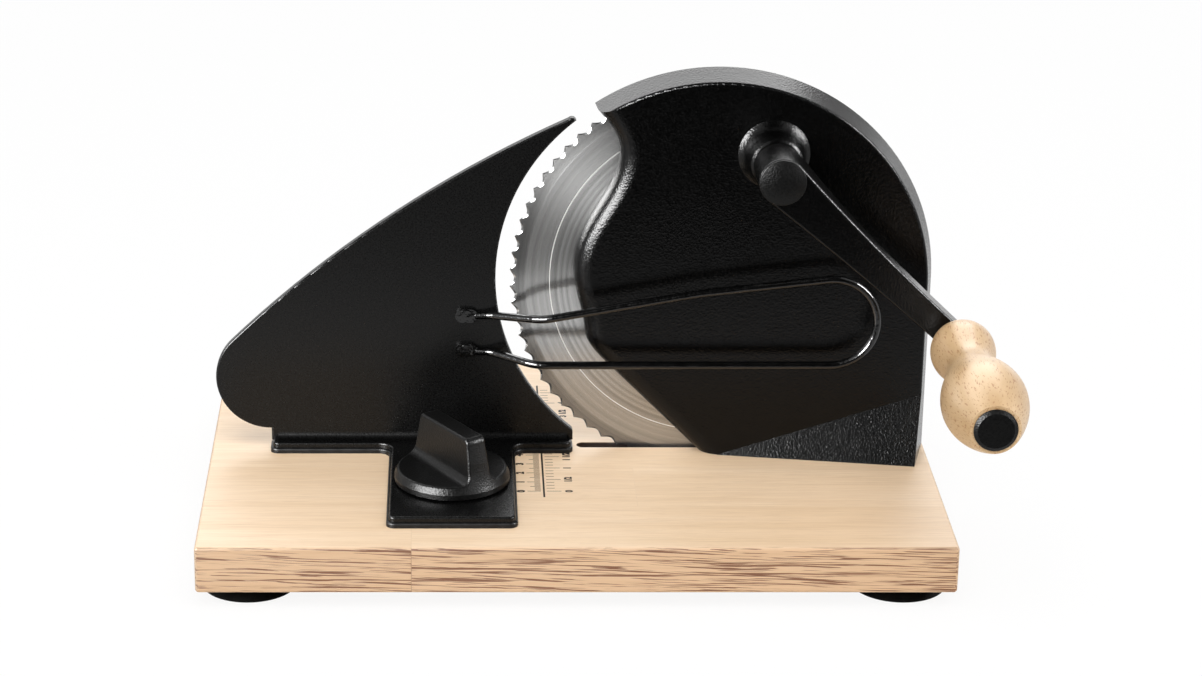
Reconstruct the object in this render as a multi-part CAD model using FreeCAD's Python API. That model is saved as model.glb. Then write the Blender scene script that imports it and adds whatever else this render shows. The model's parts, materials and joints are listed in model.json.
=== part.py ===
import FreeCAD, Part
import math
import os

V = FreeCAD.Vector

# Hand crank bread slicer. Millimetres, +Z up.
# The pieces are drawn from the board's front left corner: X to the right, Y away
# from the user, Z = 0 on the board's top. They are moved to the row's origin,
# the middle of the whole object's footprint at its feet, when they are written.

# Board and feet
BOARD_W = 320.0
BOARD_D = 212.0
BOARD_T = 21.0
BOARD_EDGE_R = 1.5
FOOT_R = 20.6
FOOT_H = 7.2
FOOT_NECK_R = 14.0
FOOT_LIP = 1.6
FOOT_INSET_X = 21.4
FOOT_INSET_Y = 26.4
FOOT_SCREW_R = 2.0
FOOT_SCREW_DEPTH = 12.0
FOOT_WASHER_R = 6.0
FOOT_WASHER_T = 1.0

# Blade and its place
BLADE_R = 90.0
BLADE_T = 1.2
BLADE_TEETH = 80
TOOTH_DEPTH = 2.3
BEVEL_W = 5.0
BLADE_EDGE_T = 0.35
BLADE_DIP = 10.3
FOOD_Y = 111.1
BLADE_GAP = 1.1
BLADE_RIM_GAP = 2.0
SLOT_W = 6.0
SLOT_OVERRUN = 17.6
SLOT_CLEAR = 3.2

# Gear pair: the small gear sits on the crank, the large one carries the blade
GEAR_ROOM = 4.45
PRESSURE_ANGLE = 20.0
BLADE_GEAR_TEETH = 59
CRANK_GEAR_TEETH = 28
BACKLASH = 0.16
GEAR_W = 5.0
GEAR_RIM = 5.0
GEAR_WEB_T = 3.5
GEAR_GAP = 0.2
CRANK_AXIS_ANGLE = 68.95

# Blade bearing: a post on the casting, a steel sleeve, a cap and its screw
POST_R = 6.0
SLEEVE_T = 3.0
HUB_WALL = 6.0
RUN_GAP = 0.04
FIT_GAP = 0.02
POST_PAD_T = 0.6
POST_PAD_R = 12.0
CAP_R = 12.0
CAP_T = 2.4
CAP_SCREW_R = 3.0
CAP_SCREW_HEAD_R = 6.0
CAP_SCREW_LEN = 7.6
BLADE_SCREW_R = 2.0
BLADE_SCREW_HEAD_R = 3.9
BLADE_SCREW_LEN = 4.4
BLADE_SCREW_RING = 25.0
BLADE_SCREWS = 3

# Gear housing casting
HOUSING_DEPTH = 13.5
RIM_OVER = 6.2
HOUSING_INSET = 0.6
HOUSING_BEHIND = 1.4
DRAFT = 0.252
SHOULDER_R = 8.0
RIM_EDGE_R = 1.2
WALL = 3.0
RIM_WALL = 4.0
SHOULDER_WALL = 5.0
FLOOR_T = 4.0
FLARE_W = 93.4
FLARE_REACH = 13.5
FLARE_H = 29.0
BOSS_BASE_R = 15.5
BOSS_R = 11.2
BOSS_TOE = 0.4
BOSS_SWEEP_R = 1.3
BOSS_SWEEP_Y = 3.4
BOSS_FLARE_H = 8.0
BOSS_TAPER = 0.3
BOSS_EDGE = 1.0
HOUSING_SCREW_R = 2.5
HOUSING_SCREW_HEAD_R = 4.75
HOUSING_SCREW_HEAD_T = 3.5
HOUSING_SCREW_BITE = 11.0
HOUSING_WASHER_R = 6.0
HOUSING_WASHER_T = 1.0
SCREW_BOSS_R = 4.8
SCREW_BOSS_H = 16.0
SCREW_Y_IN = 4.9
SCREW_LEFT = 12.8
SCREW_PITCH = 36.0
FLARE_SCREW_IN = 14.4
FLARE_SCREW_OUT = 2.8
COUNTERBORE = 6.0

# Crank
SHAFT_R = 5.0
SHAFT_FLAT = 1.0
BUSH_T = 2.0
BUSH_FLANGE_T = 1.2
BUSH_FLANGE_R = 9.2
BUSH_LEN = 7.0
BOSS_LEN = 15.6
CLIP_T = 0.8
CLIP_R = 7.4
CRANK_R = 105.5
CRANK_ANGLE = -42.6
HUB_R = 10.2
HUB_LEN = 22.4
ARM_END_R = 6.6
ARM_END_T = 8.0
ARM_MID_T = 11.0
ARM_MID_S = 60.0
ARM_MID_UP = 5.9
ARM_MID_DOWN = 7.2
ARM_TIP_UP = 4.9
ARM_TIP_DOWN = 6.5
ARM_EDGE_R = 1.0
ARM_ROOT_S = 14.0
ARM_ROOT_T = 15.6
ARM_CLEAR = 5.0
CRANK_POCKET_R = 7.5
CRANK_POCKET_DEPTH = 8.6
CRANK_SCREW_R = 2.5
CRANK_SCREW_HEAD_R = 4.4
CRANK_SCREW_HEAD_T = 3.0
CRANK_SCREW_LEN = 14.0
CRANK_WASHER_R = 7.0
CRANK_WASHER_T = 1.0
HUB_CAP_T = 2.4
HUB_CAP_DOME = 1.4
HUB_CAP_EDGE = 0.5

# Handle
GRIP_LEN = 96.6
GRIP_END_R = 9.4
GRIP_LOBE_R = 13.5
GRIP_LOBE_S = 8.0
GRIP_WAIST_R = 10.3
GRIP_WAIST_S = 30.0
GRIP_BULB_R = 17.7
GRIP_BULB_S = 68.5
GRIP_SHOULDER_R = 14.3
GRIP_SHOULDER_S = 86.5
GRIP_TIP_R = 10.3
GRIP_WASHER_T = 1.0
GRIP_WASHER_R = 7.0
SPINDLE_R = 3.5
SPINDLE_HEAD_R = 6.5
SPINDLE_HEAD_T = 3.0
PLUG_R = 8.9
PLUG_STEM_R = 7.2
PLUG_STEM_LEN = 6.0
PLUG_FACE_T = 1.4
GRIP_POCKET_DEPTH = 12.0

# Fence, its foot and the clamp knob
FENCE_T = 3.5
FENCE_TRAVEL = 12.0
FENCE_GAP = 2.4
FENCE_ARC_LEFT = 3.8
FENCE_ARC_UP = 1.2
FENCE_TIP_LEFT = 61.6
FENCE_HEEL_R = 2.5
FENCE_TOP_R = 530.0
NOSE_R = 24.3
NOSE_X = 27.0
NOSE_Z = 33.6
FENCE_FOOT_LEFT = 27.8
FENCE_FOOT_OVER = 0.4
FENCE_FOOT_FRONT = 101.6
FOOT_PLATE_T = 2.4
PAD_T = 2.3
PAD_LEDGE = 1.1
FOOT_END = 1.2
TONGUE_INSET = 54.1
TONGUE_W = 53.8
TONGUE_FRONT = 20.6
TONGUE_FILLET = 6.0
TONGUE_CORNER = 2.5
KNOB_Y = 60.8
KNOB_R = 25.0
KNOB_H = 25.2
KNOB_TOP_R = 19.6
KNOB_FLOOR = 5.4
KNOB_RIM_H = 2.2
KNOB_FLARE_R = 3.2
KNOB_FLARE_H = 7.6
KNOB_NECK_R = 1.8
KNOB_NECK_H = 14.0
KNOB_EDGE = 3.0
WING_T = 9.0
WING_EDGE_R = 1.3
WING_FOOT_R = 4.0
WING_LEAN = 3.0
WING_ANGLE = -57.0
STUD_R = 3.0
STUD_CLEAR = 0.3
STUD_HEAD_R = 7.0
STUD_HEAD_T = 3.6
STUD_WASHER_R = 9.0
STUD_WASHER_T = 1.2
STUD_IN_KNOB = 11.5
KNOB_WASHER_R = 10.0
KNOB_WASHER_T = 0.9
INSERT_WALL = 1.1
INSERT_LEN = 14.0
KEY_W = 5.0
KEY_H = 4.0
KEY_SPREAD = 36.0
KEY_FRONT = 40.0
KEY_LEN = 50.0
KEY_CLEAR = 0.3

# Wire guard
WIRE_R = 1.75
WIRE_STANDOFF = 18.5
WIRE_LUG_LEFT = 109.0
WIRE_UPPER_DROP = 16.0
WIRE_LOWER_DROP = 32.3
LUG_L = 10.0
LUG_W = 6.2
LUG_T = 2.2
WIRE_BEND_LEFT = 75.7
WIRE_BEND_DROP = 11.7
WIRE_KNEE_LEFT = 8.2
WIRE_KNEE_UP = 0.5
WIRE_KNEE_R = 120.0
LOOP_R = 20.0
LOOP_RIGHT = 50.2
LOOP_DROP = 12.9
WIRE_BEND_R = 14.0
WIRE_TOE_R = 8.0
WIRE_TOE_RUN = 7.0
RIVET_R = 1.6
RIVET_HEAD_R = 2.8
RIVET_HEAD_T = 0.8

# Left edge of the housing, from past the beak down to where it slopes to the board:
# distances to the right of the blade's axis and above it
SHOULDER = (
    (-60.2, 87.3),
    (-49.8, 75.7),
    (-42.7, 61.8),
    (-45.9, 45.8),
    (-53.6, 31.8),
    (-60.3, 16.8),
    (-61.4, 0.3),
    (-57.0, -19.2),
    (-46.6, -38.2),
)
BEAK_RUN = 20.0

# Depths along the shafts, counted from the food side plane towards the user
BLADE_FRONT = FOOD_Y - BLADE_T
HOUSING_BACK = FOOD_Y + HOUSING_BEHIND
FACE_Y = HOUSING_BACK - HOUSING_DEPTH
INNER_Y = FACE_Y + WALL
EDGE_Y = BLADE_FRONT - BLADE_GAP
PAD_Y = INNER_Y + POST_PAD_T
CAP_Y = FOOD_Y - CAP_T
GEAR_FRONT = INNER_Y + BUSH_FLANGE_T + 0.3
GEAR_BACK = GEAR_FRONT + GEAR_W
BOSS_FRONT = FACE_Y - BOSS_LEN
HUB_BACK = BOSS_FRONT - BUSH_FLANGE_T - 0.3
HUB_FRONT = HUB_BACK - HUB_LEN
GRIP_BACK = HUB_FRONT - GRIP_WASHER_T - 0.2
GRIP_FRONT = GRIP_BACK - GRIP_LEN

# Places of the axes
HOUSING_RIM_R = BLADE_R + RIM_OVER
HOUSING_RIGHT = BOARD_W - HOUSING_INSET
BLADE_X = HOUSING_RIGHT - HOUSING_RIM_R
BLADE_Z = BLADE_R - BLADE_DIP
MODULE = (HOUSING_RIM_R - RIM_WALL - GEAR_ROOM) / (BLADE_GEAR_TEETH / 2.0 + CRANK_GEAR_TEETH + 1.0)
CENTRES = MODULE * (BLADE_GEAR_TEETH + CRANK_GEAR_TEETH) / 2.0
CRANK_X = BLADE_X + CENTRES * math.cos(math.radians(CRANK_AXIS_ANGLE))
CRANK_Z = BLADE_Z + CENTRES * math.sin(math.radians(CRANK_AXIS_ANGLE))
ARM_DX = math.cos(math.radians(CRANK_ANGLE))
ARM_DZ = math.sin(math.radians(CRANK_ANGLE))
GRIP_X = CRANK_X + CRANK_R * ARM_DX
GRIP_Z = CRANK_Z + CRANK_R * ARM_DZ
FENCE_FRONT = FOOD_Y - FENCE_T
FOOT_TOP = PAD_T + FOOT_PLATE_T
KNOB_BASE = FOOT_TOP + KNOB_WASHER_T
WIRE_Y = FENCE_FRONT - WIRE_STANDOFF
FENCE_ARC_R = BLADE_R + FENCE_GAP
FENCE_ARC_X = BLADE_X - FENCE_ARC_LEFT
FENCE_ARC_Z = BLADE_Z + FENCE_ARC_UP
FENCE_TIP_X = BLADE_X - FENCE_TIP_LEFT
FENCE_FOOT_RIGHT = FENCE_TIP_X + FENCE_FOOT_OVER
TONGUE_X = FENCE_FOOT_RIGHT - TONGUE_INSET
WIRE_LUG_X = BLADE_X - WIRE_LUG_LEFT
WIRE_UPPER_Z = BLADE_Z - WIRE_UPPER_DROP
WIRE_LOWER_Z = BLADE_Z - WIRE_LOWER_DROP
WIRE_BEND_X = BLADE_X - WIRE_BEND_LEFT
WIRE_BEND_Z = BLADE_Z - WIRE_BEND_DROP
WIRE_KNEE_X = BLADE_X - WIRE_KNEE_LEFT
WIRE_KNEE_Z = BLADE_Z + WIRE_KNEE_UP
LOOP_X = BLADE_X + LOOP_RIGHT
LOOP_Z = BLADE_Z - LOOP_DROP
FAR = 2.0 * BOARD_W

# The row's origin, in the drawing's coordinates
ORIGIN = V(
    (GRIP_X + GRIP_BULB_R) / 2.0,
    (BOARD_D + GRIP_FRONT - PLUG_FACE_T) / 2.0,
    -BOARD_T - FOOT_H,
)

HOUSING_SCREWS = (
    (BLADE_X + SCREW_LEFT, FACE_Y + SCREW_Y_IN),
    (BLADE_X + SCREW_LEFT + SCREW_PITCH, FACE_Y + SCREW_Y_IN),
    (HOUSING_RIGHT - FLARE_SCREW_IN, FACE_Y - FLARE_SCREW_OUT),
)


def cyl_y(x, z, y0, y1, r):
    return Part.makeCylinder(r, y1 - y0, V(x, y0, z), V(0, 1, 0))


def cyl_z(x, y, z0, z1, r):
    return Part.makeCylinder(r, z1 - z0, V(x, y, z0), V(0, 0, 1))


def cone_y(x, z, y0, y1, r0, r1):
    return Part.makeCone(r0, r1, y1 - y0, V(x, y0, z), V(0, 1, 0))


def box(x0, y0, z0, x1, y1, z1):
    return Part.makeBox(x1 - x0, y1 - y0, z1 - z0, V(x0, y0, z0))


def arc(a, b, c):
    return Part.Arc(a, b, c).toShape()


def line(a, b):
    return Part.makeLine(a, b)


def loop(points):
    return Part.makePolygon(list(points) + [points[0]])


def push(wire, direction):
    return Part.Face(wire).extrude(direction)


def spun(points, centre, axis):
    # A closed profile of straight lines turned all the way round.
    return Part.Face(loop(points)).revolve(centre, axis, 360)


def fuse(first, *others):
    return first.fuse(list(others)).removeSplitter()


def edges_where(shape, test):
    return [e for e in shape.Edges if test(e)]


def stretch_y(edge):
    box_ = edge.BoundBox
    return box_.YMax - box_.YMin


def rounded(shape, r, edges):
    # Soft edges of a casting or moulding. One that has no room for the radius stays sharp.
    try:
        soft = shape.makeFillet(r, edges)
    except Part.OCCError:
        return shape
    return soft if soft.isValid() else shape


# Board and feet


def foot_places():
    xs = (FOOT_INSET_X, BOARD_W - FOOT_INSET_X)
    ys = (FOOT_INSET_Y, BOARD_D - FOOT_INSET_Y)
    return [(x, y) for x in xs for y in ys]


def blade_slot():
    # Groove for the blade's lowest part, with round ends.
    half = math.sqrt(BLADE_R ** 2 - BLADE_Z ** 2) + SLOT_OVERRUN
    depth = BLADE_R - BLADE_Z + SLOT_CLEAR
    mid = FOOD_Y - BLADE_T / 2.0
    r = SLOT_W / 2.0
    tool = box(BLADE_X - half + r, mid - r, -depth, BLADE_X + half - r, mid + r, 1.0)
    ends = [cyl_z(x, mid, -depth, 1.0, r) for x in (BLADE_X - half + r, BLADE_X + half - r)]
    return fuse(tool, *ends)


def key_box(x, clear, top):
    return box(
        x - KEY_W / 2.0 - clear,
        KEY_FRONT - clear - (FENCE_TRAVEL if clear else 0.0),
        -KEY_H - clear,
        x + KEY_W / 2.0 + clear,
        KEY_FRONT + KEY_LEN + clear,
        top,
    )


def key_xs():
    return (TONGUE_X - KEY_SPREAD / 2.0, TONGUE_X + KEY_SPREAD / 2.0)


def base_board():
    board = box(0, 0, -BOARD_T, BOARD_W, BOARD_D, 0)
    board = board.makeFillet(BOARD_EDGE_R, board.Edges)
    tools = [blade_slot()]
    tools += [key_box(x, KEY_CLEAR, 1.0) for x in key_xs()]
    for x, y in foot_places():
        tools.append(cyl_z(x, y, -BOARD_T - 1.0, -BOARD_T + FOOT_SCREW_DEPTH, FOOT_SCREW_R))
    for x, y in HOUSING_SCREWS:
        tools.append(cyl_z(x, y, -BOARD_T - 1.0, 1.0, HOUSING_SCREW_R + 0.2))
        tools.append(cyl_z(x, y, -BOARD_T - 1.0, -BOARD_T + COUNTERBORE, HOUSING_WASHER_R + 0.5))
    tools.append(cyl_z(TONGUE_X, KNOB_Y, -BOARD_T - 1.0, 1.0, STUD_R + FIT_GAP))
    tools.append(cyl_z(TONGUE_X, KNOB_Y, -BOARD_T - 1.0, -BOARD_T + COUNTERBORE, STUD_WASHER_R + 0.5))
    return board.cut(tools)


def suction_cup(x, y):
    # Soft cup: a neck under the board and a thin skirt that flares to the lip.
    top = -BOARD_T
    low = -BOARD_T - FOOT_H
    seat = top - FOOT_H * 0.45
    outer = [
        V(FOOT_SCREW_R, 0, top),
        V(FOOT_NECK_R, 0, top),
        V(FOOT_NECK_R + 0.8, 0, top - 2.2),
    ]
    skirt_out = arc(outer[2], V(FOOT_R - 3.0, 0, top - 4.2), V(FOOT_R, 0, low + 0.7))
    skirt_in = arc(
        V(FOOT_R - FOOT_LIP, 0, low),
        V(FOOT_R - 6.0, 0, low + 2.0),
        V(FOOT_WASHER_R + 1.0, 0, seat),
    )
    edges = [
        line(outer[0], outer[1]),
        line(outer[1], outer[2]),
        skirt_out,
        line(V(FOOT_R, 0, low + 0.7), V(FOOT_R - 0.2, 0, low)),
        line(V(FOOT_R - 0.2, 0, low), V(FOOT_R - FOOT_LIP, 0, low)),
        skirt_in,
        line(V(FOOT_WASHER_R + 1.0, 0, seat), V(FOOT_SCREW_R, 0, seat)),
        line(V(FOOT_SCREW_R, 0, seat), outer[0]),
    ]
    cup = Part.Face(Part.Wire(edges)).revolve(V(0, 0, 0), V(0, 0, 1), 360)
    cup.translate(V(x, y, 0))
    return cup


def foot_seat():
    return -BOARD_T - FOOT_H * 0.45


def suction_feet():
    return Part.makeCompound([suction_cup(x, y) for x, y in foot_places()])


def foot_washers():
    z = foot_seat()
    rings = []
    for x, y in foot_places():
        disc = cyl_z(x, y, z - FOOT_WASHER_T, z, FOOT_WASHER_R)
        rings.append(disc.cut(cyl_z(x, y, z - 2.0, z + 1.0, FOOT_SCREW_R)))
    return Part.makeCompound(rings)


def wood_screw(x, y, z_seat, z_tip, hole_r, head_r, head_t):
    # Pan head below the seat, shank with a short point above it.
    r = hole_r - FIT_GAP
    points = [
        V(0, 0, z_seat - head_t),
        V(head_r * 0.7, 0, z_seat - head_t),
        V(head_r, 0, z_seat - head_t * 0.5),
        V(head_r, 0, z_seat),
        V(r, 0, z_seat),
        V(r, 0, z_tip - 1.5 * r),
        V(0.4, 0, z_tip),
        V(0, 0, z_tip),
    ]
    screw = spun(points, V(0, 0, 0), V(0, 0, 1))
    slot = box(-head_r, -0.5, z_seat - head_t - 1.0, head_r, 0.5, z_seat - head_t * 0.6)
    screw = screw.cut(slot)
    screw.translate(V(x, y, 0))
    return screw


def foot_screws():
    z = foot_seat() - FOOT_WASHER_T
    tip = -BOARD_T + FOOT_SCREW_DEPTH - 0.5
    return Part.makeCompound([wood_screw(x, y, z, tip, FOOT_SCREW_R, 4.0, 2.4) for x, y in foot_places()])


# Gear housing


def smooth(points, start, end):
    # Curve through the points, with the given directions at its ends.
    curve = Part.BSplineCurve()
    curve.interpolate(Points=points, InitialTangent=start, FinalTangent=end)
    return curve


def shoulder_line(inset):
    # A bulge over the blade's middle and a scoop under the beak, then a straight
    # slope down past the board's top.
    points = [(BLADE_X + x, BLADE_Z + z) for x, z in SHOULDER]
    start = V(0.67, 0, -0.74)
    end = V(math.sqrt(0.5), 0, -math.sqrt(0.5))
    curve = smooth([V(x, 0, z) for x, z in points], start, end)
    inside = []
    for x, z in points:
        t = curve.parameter(V(x, 0, z))
        d = curve.tangent(t)[0]
        inside.append(V(x - d.z * inset, 0, z + d.x * inset))
    curve = smooth(inside, start, end)
    beak, bend = inside[0], inside[-1]
    reach = (bend.z + BOARD_T) / end.z
    return Part.Wire([line(beak - start * BEAK_RUN, beak), curve.toShape(), line(bend, bend - end * reach)])


def shoulder_block(inset, y0, y1):
    # Everything to the right of the left edge.
    wire = shoulder_line(inset)
    ends = sorted((v.Point for v in wire.Vertexes), key=lambda p: p.z)
    low, top = ends[0], ends[-1]
    rest = Part.makePolygon([low, V(FAR, 0, low.z), V(FAR, 0, FAR), V(top.x, 0, FAR), top])
    block = Part.Face(Part.Wire(wire.Edges + rest.Edges)).extrude(V(0, y1 - y0, 0))
    block.translate(V(0, y0, 0))
    return block


def rolled_block():
    # The same block with its left edge rolled back from the face.
    block = shoulder_block(0.0, FACE_Y, HOUSING_BACK)
    left = shoulder_line(0.0)
    left.translate(V(0, FACE_Y, 0))
    front = []
    for e in block.Edges:
        p = e.CenterOfMass
        if abs(p.y - FACE_Y) < 0.01 and left.distToShape(Part.Vertex(e.Vertexes[0].Point))[0] < 0.01:
            if left.distToShape(Part.Vertex(e.Vertexes[-1].Point))[0] < 0.01:
                front.append(e)
    return block.makeFillet(SHOULDER_R, front)


def drafted_block(r_back, y_back, y_front, floor_z):
    # The round-topped body, narrower towards the face by the draft.
    wires = []
    for y, r in ((y_back, r_back), (y_front, r_back - DRAFT * (y_back - y_front))):
        left = V(BLADE_X - r, y, BLADE_Z)
        top = V(BLADE_X, y, BLADE_Z + r)
        right = V(BLADE_X + r, y, BLADE_Z)
        right_low = V(BLADE_X + r, y, floor_z)
        left_low = V(BLADE_X - r, y, floor_z)
        wires.append(Part.Wire([arc(left, top, right), line(right, right_low), line(right_low, left_low), line(left_low, left)]))
    return Part.makeLoft(wires, True, True)


def side_x(y):
    return HOUSING_RIGHT - DRAFT * (HOUSING_BACK - y)


def flare():
    # The foot that spreads towards the user at the lower right.
    start = V(HOUSING_RIGHT - FLARE_W, FACE_Y, 0)
    toe = V(side_x(FACE_Y - FLARE_REACH), FACE_Y - FLARE_REACH, 0)
    top = V(side_x(FACE_Y), FACE_Y, FLARE_H)
    heel = V(side_x(FACE_Y), FACE_Y, 0)
    faces = [
        Part.Face(loop([start, toe, top])),
        Part.Face(loop([start, heel, toe])),
        Part.Face(loop([start, top, heel])),
        Part.Face(loop([heel, top, toe])),
    ]
    wedge = Part.makeSolid(Part.makeShell(faces))
    behind = Part.Face(loop([start, heel, top])).extrude(V(DRAFT * RIM_EDGE_R, RIM_EDGE_R, 0))
    return wedge.fuse(behind)


def crank_boss():
    # Trumpet round the crank shaft's bore.
    edges = [
        line(V(0, INNER_Y, 0), V(BOSS_BASE_R, INNER_Y, 0)),
        line(V(BOSS_BASE_R, INNER_Y, 0), V(BOSS_BASE_R, FACE_Y - BOSS_TOE, 0)),
        arc(
            V(BOSS_BASE_R, FACE_Y - BOSS_TOE, 0),
            V(BOSS_R + BOSS_SWEEP_R, FACE_Y - BOSS_SWEEP_Y, 0),
            V(BOSS_R + BOSS_TAPER, FACE_Y - BOSS_FLARE_H, 0),
        ),
        line(V(BOSS_R + BOSS_TAPER, FACE_Y - BOSS_FLARE_H, 0), V(BOSS_R, BOSS_FRONT + BOSS_EDGE, 0)),
        line(V(BOSS_R, BOSS_FRONT + BOSS_EDGE, 0), V(BOSS_R - BOSS_EDGE, BOSS_FRONT, 0)),
        line(V(BOSS_R - BOSS_EDGE, BOSS_FRONT, 0), V(0, BOSS_FRONT, 0)),
        line(V(0, BOSS_FRONT, 0), V(0, INNER_Y, 0)),
    ]
    boss = Part.Face(Part.Wire(edges)).revolve(V(0, 0, 0), V(0, 1, 0), 360)
    boss.translate(V(CRANK_X, 0, CRANK_Z))
    return boss


def gear_housing():
    drum = drafted_block(HOUSING_RIM_R, HOUSING_BACK, FACE_Y, 0.0)
    rim = edges_where(drum, lambda e: e.BoundBox.YMax < FACE_Y + 0.01 and e.BoundBox.ZMax > 1.0)
    outer = rolled_block().common(rounded(drum, RIM_EDGE_R, rim))
    hollow = drafted_block(HOUSING_RIM_R - RIM_WALL, HOUSING_BACK, INNER_Y, FLOOR_T)
    inner = shoulder_block(SHOULDER_WALL, INNER_Y, EDGE_Y + 0.2).common(hollow)
    body = outer.cut(inner)
    chamber = cyl_y(BLADE_X, BLADE_Z, EDGE_Y, HOUSING_BACK + 1.0, BLADE_R + BLADE_RIM_GAP)
    body = body.cut(chamber)
    adds = [crank_boss(), flare()]
    adds.append(cyl_y(BLADE_X, BLADE_Z, INNER_Y - 0.5, PAD_Y, POST_PAD_R))
    adds.append(cyl_y(BLADE_X, BLADE_Z, INNER_Y - 0.5, CAP_Y, POST_R))
    hollow = box(0, FACE_Y + 1.0, 0, FAR, EDGE_Y, FAR)
    for x, y in HOUSING_SCREWS:
        if y > FACE_Y:
            adds.append(cyl_z(x, y, 0.0, SCREW_BOSS_H, SCREW_BOSS_R).common(hollow))
    body = fuse(body, *adds)
    tools = [cyl_y(CRANK_X, CRANK_Z, BOSS_FRONT - 1.0, INNER_Y + 1.0, SHAFT_R + BUSH_T)]
    tools.append(cyl_y(BLADE_X, BLADE_Z, CAP_Y - CAP_SCREW_LEN, CAP_Y + 1.0, CAP_SCREW_R))
    for x, y in HOUSING_SCREWS:
        tools.append(cyl_z(x, y, -1.0, HOUSING_SCREW_BITE, HOUSING_SCREW_R))
    return body.cut(tools)


def housing_screws():
    screws = []
    z = -BOARD_T + COUNTERBORE - HOUSING_WASHER_T
    tip = HOUSING_SCREW_BITE - 0.3
    for x, y in HOUSING_SCREWS:
        screws.append(wood_screw(x, y, z, tip, HOUSING_SCREW_R, HOUSING_SCREW_HEAD_R, HOUSING_SCREW_HEAD_T))
    return Part.makeCompound(screws)


def housing_washers():
    z = -BOARD_T + COUNTERBORE
    rings = []
    for x, y in HOUSING_SCREWS:
        disc = cyl_z(x, y, z - HOUSING_WASHER_T, z, HOUSING_WASHER_R)
        rings.append(disc.cut(cyl_z(x, y, z - 3.0, z + 1.0, HOUSING_SCREW_R)))
    return Part.makeCompound(rings)


# Gears and blade


def involute_point(base_r, r, turn, side):
    a = math.sqrt(max((r / base_r) ** 2 - 1.0, 0.0))
    inv = a - math.atan(a)
    ang = turn - side * inv
    return (r * math.cos(ang), r * math.sin(ang))


def gear_wire(teeth, phase_deg, y):
    # Involute spur gear outline, one tooth's middle at the phase angle.
    pitch_r = MODULE * teeth / 2.0
    alpha = math.radians(PRESSURE_ANGLE)
    base_r = pitch_r * math.cos(alpha)
    tip_r = pitch_r + MODULE
    root_r = pitch_r - 1.25 * MODULE
    start_r = max(base_r, root_r)
    half = math.pi / (2.0 * teeth) - BACKLASH / (4.0 * pitch_r) + math.tan(alpha) - alpha
    radii = (start_r, (start_r + tip_r) / 2.0, tip_r)
    edges = []
    last = None
    first = None
    for i in range(teeth):
        mid = math.radians(phase_deg) + 2.0 * math.pi * i / teeth
        rise = [involute_point(base_r, r, mid - half, -1) for r in radii]
        fall = [involute_point(base_r, r, mid + half, 1) for r in reversed(radii)]
        foot_a = mid - half
        foot_b = mid + half
        chain = []
        if start_r > root_r + 0.01:
            chain.append((root_r * math.cos(foot_a), root_r * math.sin(foot_a)))
        if first is None:
            first = chain[0] if chain else rise[0]
        if last is not None:
            nxt = chain[0] if chain else rise[0]
            edges.append(line(V(last[0], y, last[1]), V(nxt[0], y, nxt[1])))
        if chain:
            edges.append(line(V(chain[0][0], y, chain[0][1]), V(rise[0][0], y, rise[0][1])))
        edges.append(arc(*[V(p[0], y, p[1]) for p in rise]))
        edges.append(line(V(rise[2][0], y, rise[2][1]), V(fall[0][0], y, fall[0][1])))
        edges.append(arc(*[V(p[0], y, p[1]) for p in fall]))
        last = fall[2]
        if start_r > root_r + 0.01:
            root = (root_r * math.cos(foot_b), root_r * math.sin(foot_b))
            edges.append(line(V(last[0], y, last[1]), V(root[0], y, root[1])))
            last = root
    edges.append(line(V(last[0], y, last[1]), V(first[0], y, first[1])))
    return Part.Wire(edges)


def blade_gear():
    teeth = push(
        gear_wire(BLADE_GEAR_TEETH, CRANK_AXIS_ANGLE + 180.0 / BLADE_GEAR_TEETH, GEAR_FRONT),
        V(0, GEAR_W, 0),
    )
    root_r = MODULE * (BLADE_GEAR_TEETH - 2.5) / 2.0
    sleeve_r = POST_R + SLEEVE_T
    hub_r = sleeve_r + HUB_WALL
    rim_in = root_r - GEAR_RIM
    web_y = BLADE_FRONT - GEAR_WEB_T
    gear = teeth.cut(cyl_y(0, 0, GEAR_FRONT - 1.0, web_y, rim_in))
    gear = fuse(
        gear,
        cyl_y(0, 0, web_y, BLADE_FRONT, rim_in + 1.0),
        cyl_y(0, 0, PAD_Y + GEAR_GAP, FOOD_Y - 0.1, hub_r),
    )
    cuts = [cyl_y(0, 0, PAD_Y - 1.0, FOOD_Y + 1.0, sleeve_r + RUN_GAP)]
    cuts.append(cyl_y(0, 0, CAP_Y - GEAR_GAP, FOOD_Y + 1.0, CAP_R + 0.3))
    for a in screw_angles():
        x = BLADE_SCREW_RING * math.cos(a)
        z = BLADE_SCREW_RING * math.sin(a)
        cuts.append(cyl_y(x, z, web_y - 1.0, FOOD_Y, BLADE_SCREW_R))
    for i in range(6):
        a = math.radians(60.0 * i + 30.0)
        r = (hub_r + rim_in) / 2.0 + 5.0
        cuts.append(cyl_y(r * math.cos(a), r * math.sin(a), web_y - 1.0, FOOD_Y, 5.0))
    gear = gear.cut(cuts)
    gear.translate(V(BLADE_X, 0, BLADE_Z))
    return gear


def screw_angles():
    return [math.radians(90.0 + 360.0 * i / BLADE_SCREWS) for i in range(BLADE_SCREWS)]


def crank_gear():
    phase = CRANK_AXIS_ANGLE + 180.0
    gear = push(gear_wire(CRANK_GEAR_TEETH, phase, GEAR_FRONT), V(0, GEAR_W, 0))
    gear.translate(V(CRANK_X, 0, CRANK_Z))
    return gear.cut(shaft_bar(GEAR_FRONT - 1.0, GEAR_BACK + 1.0, FIT_GAP))


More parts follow.
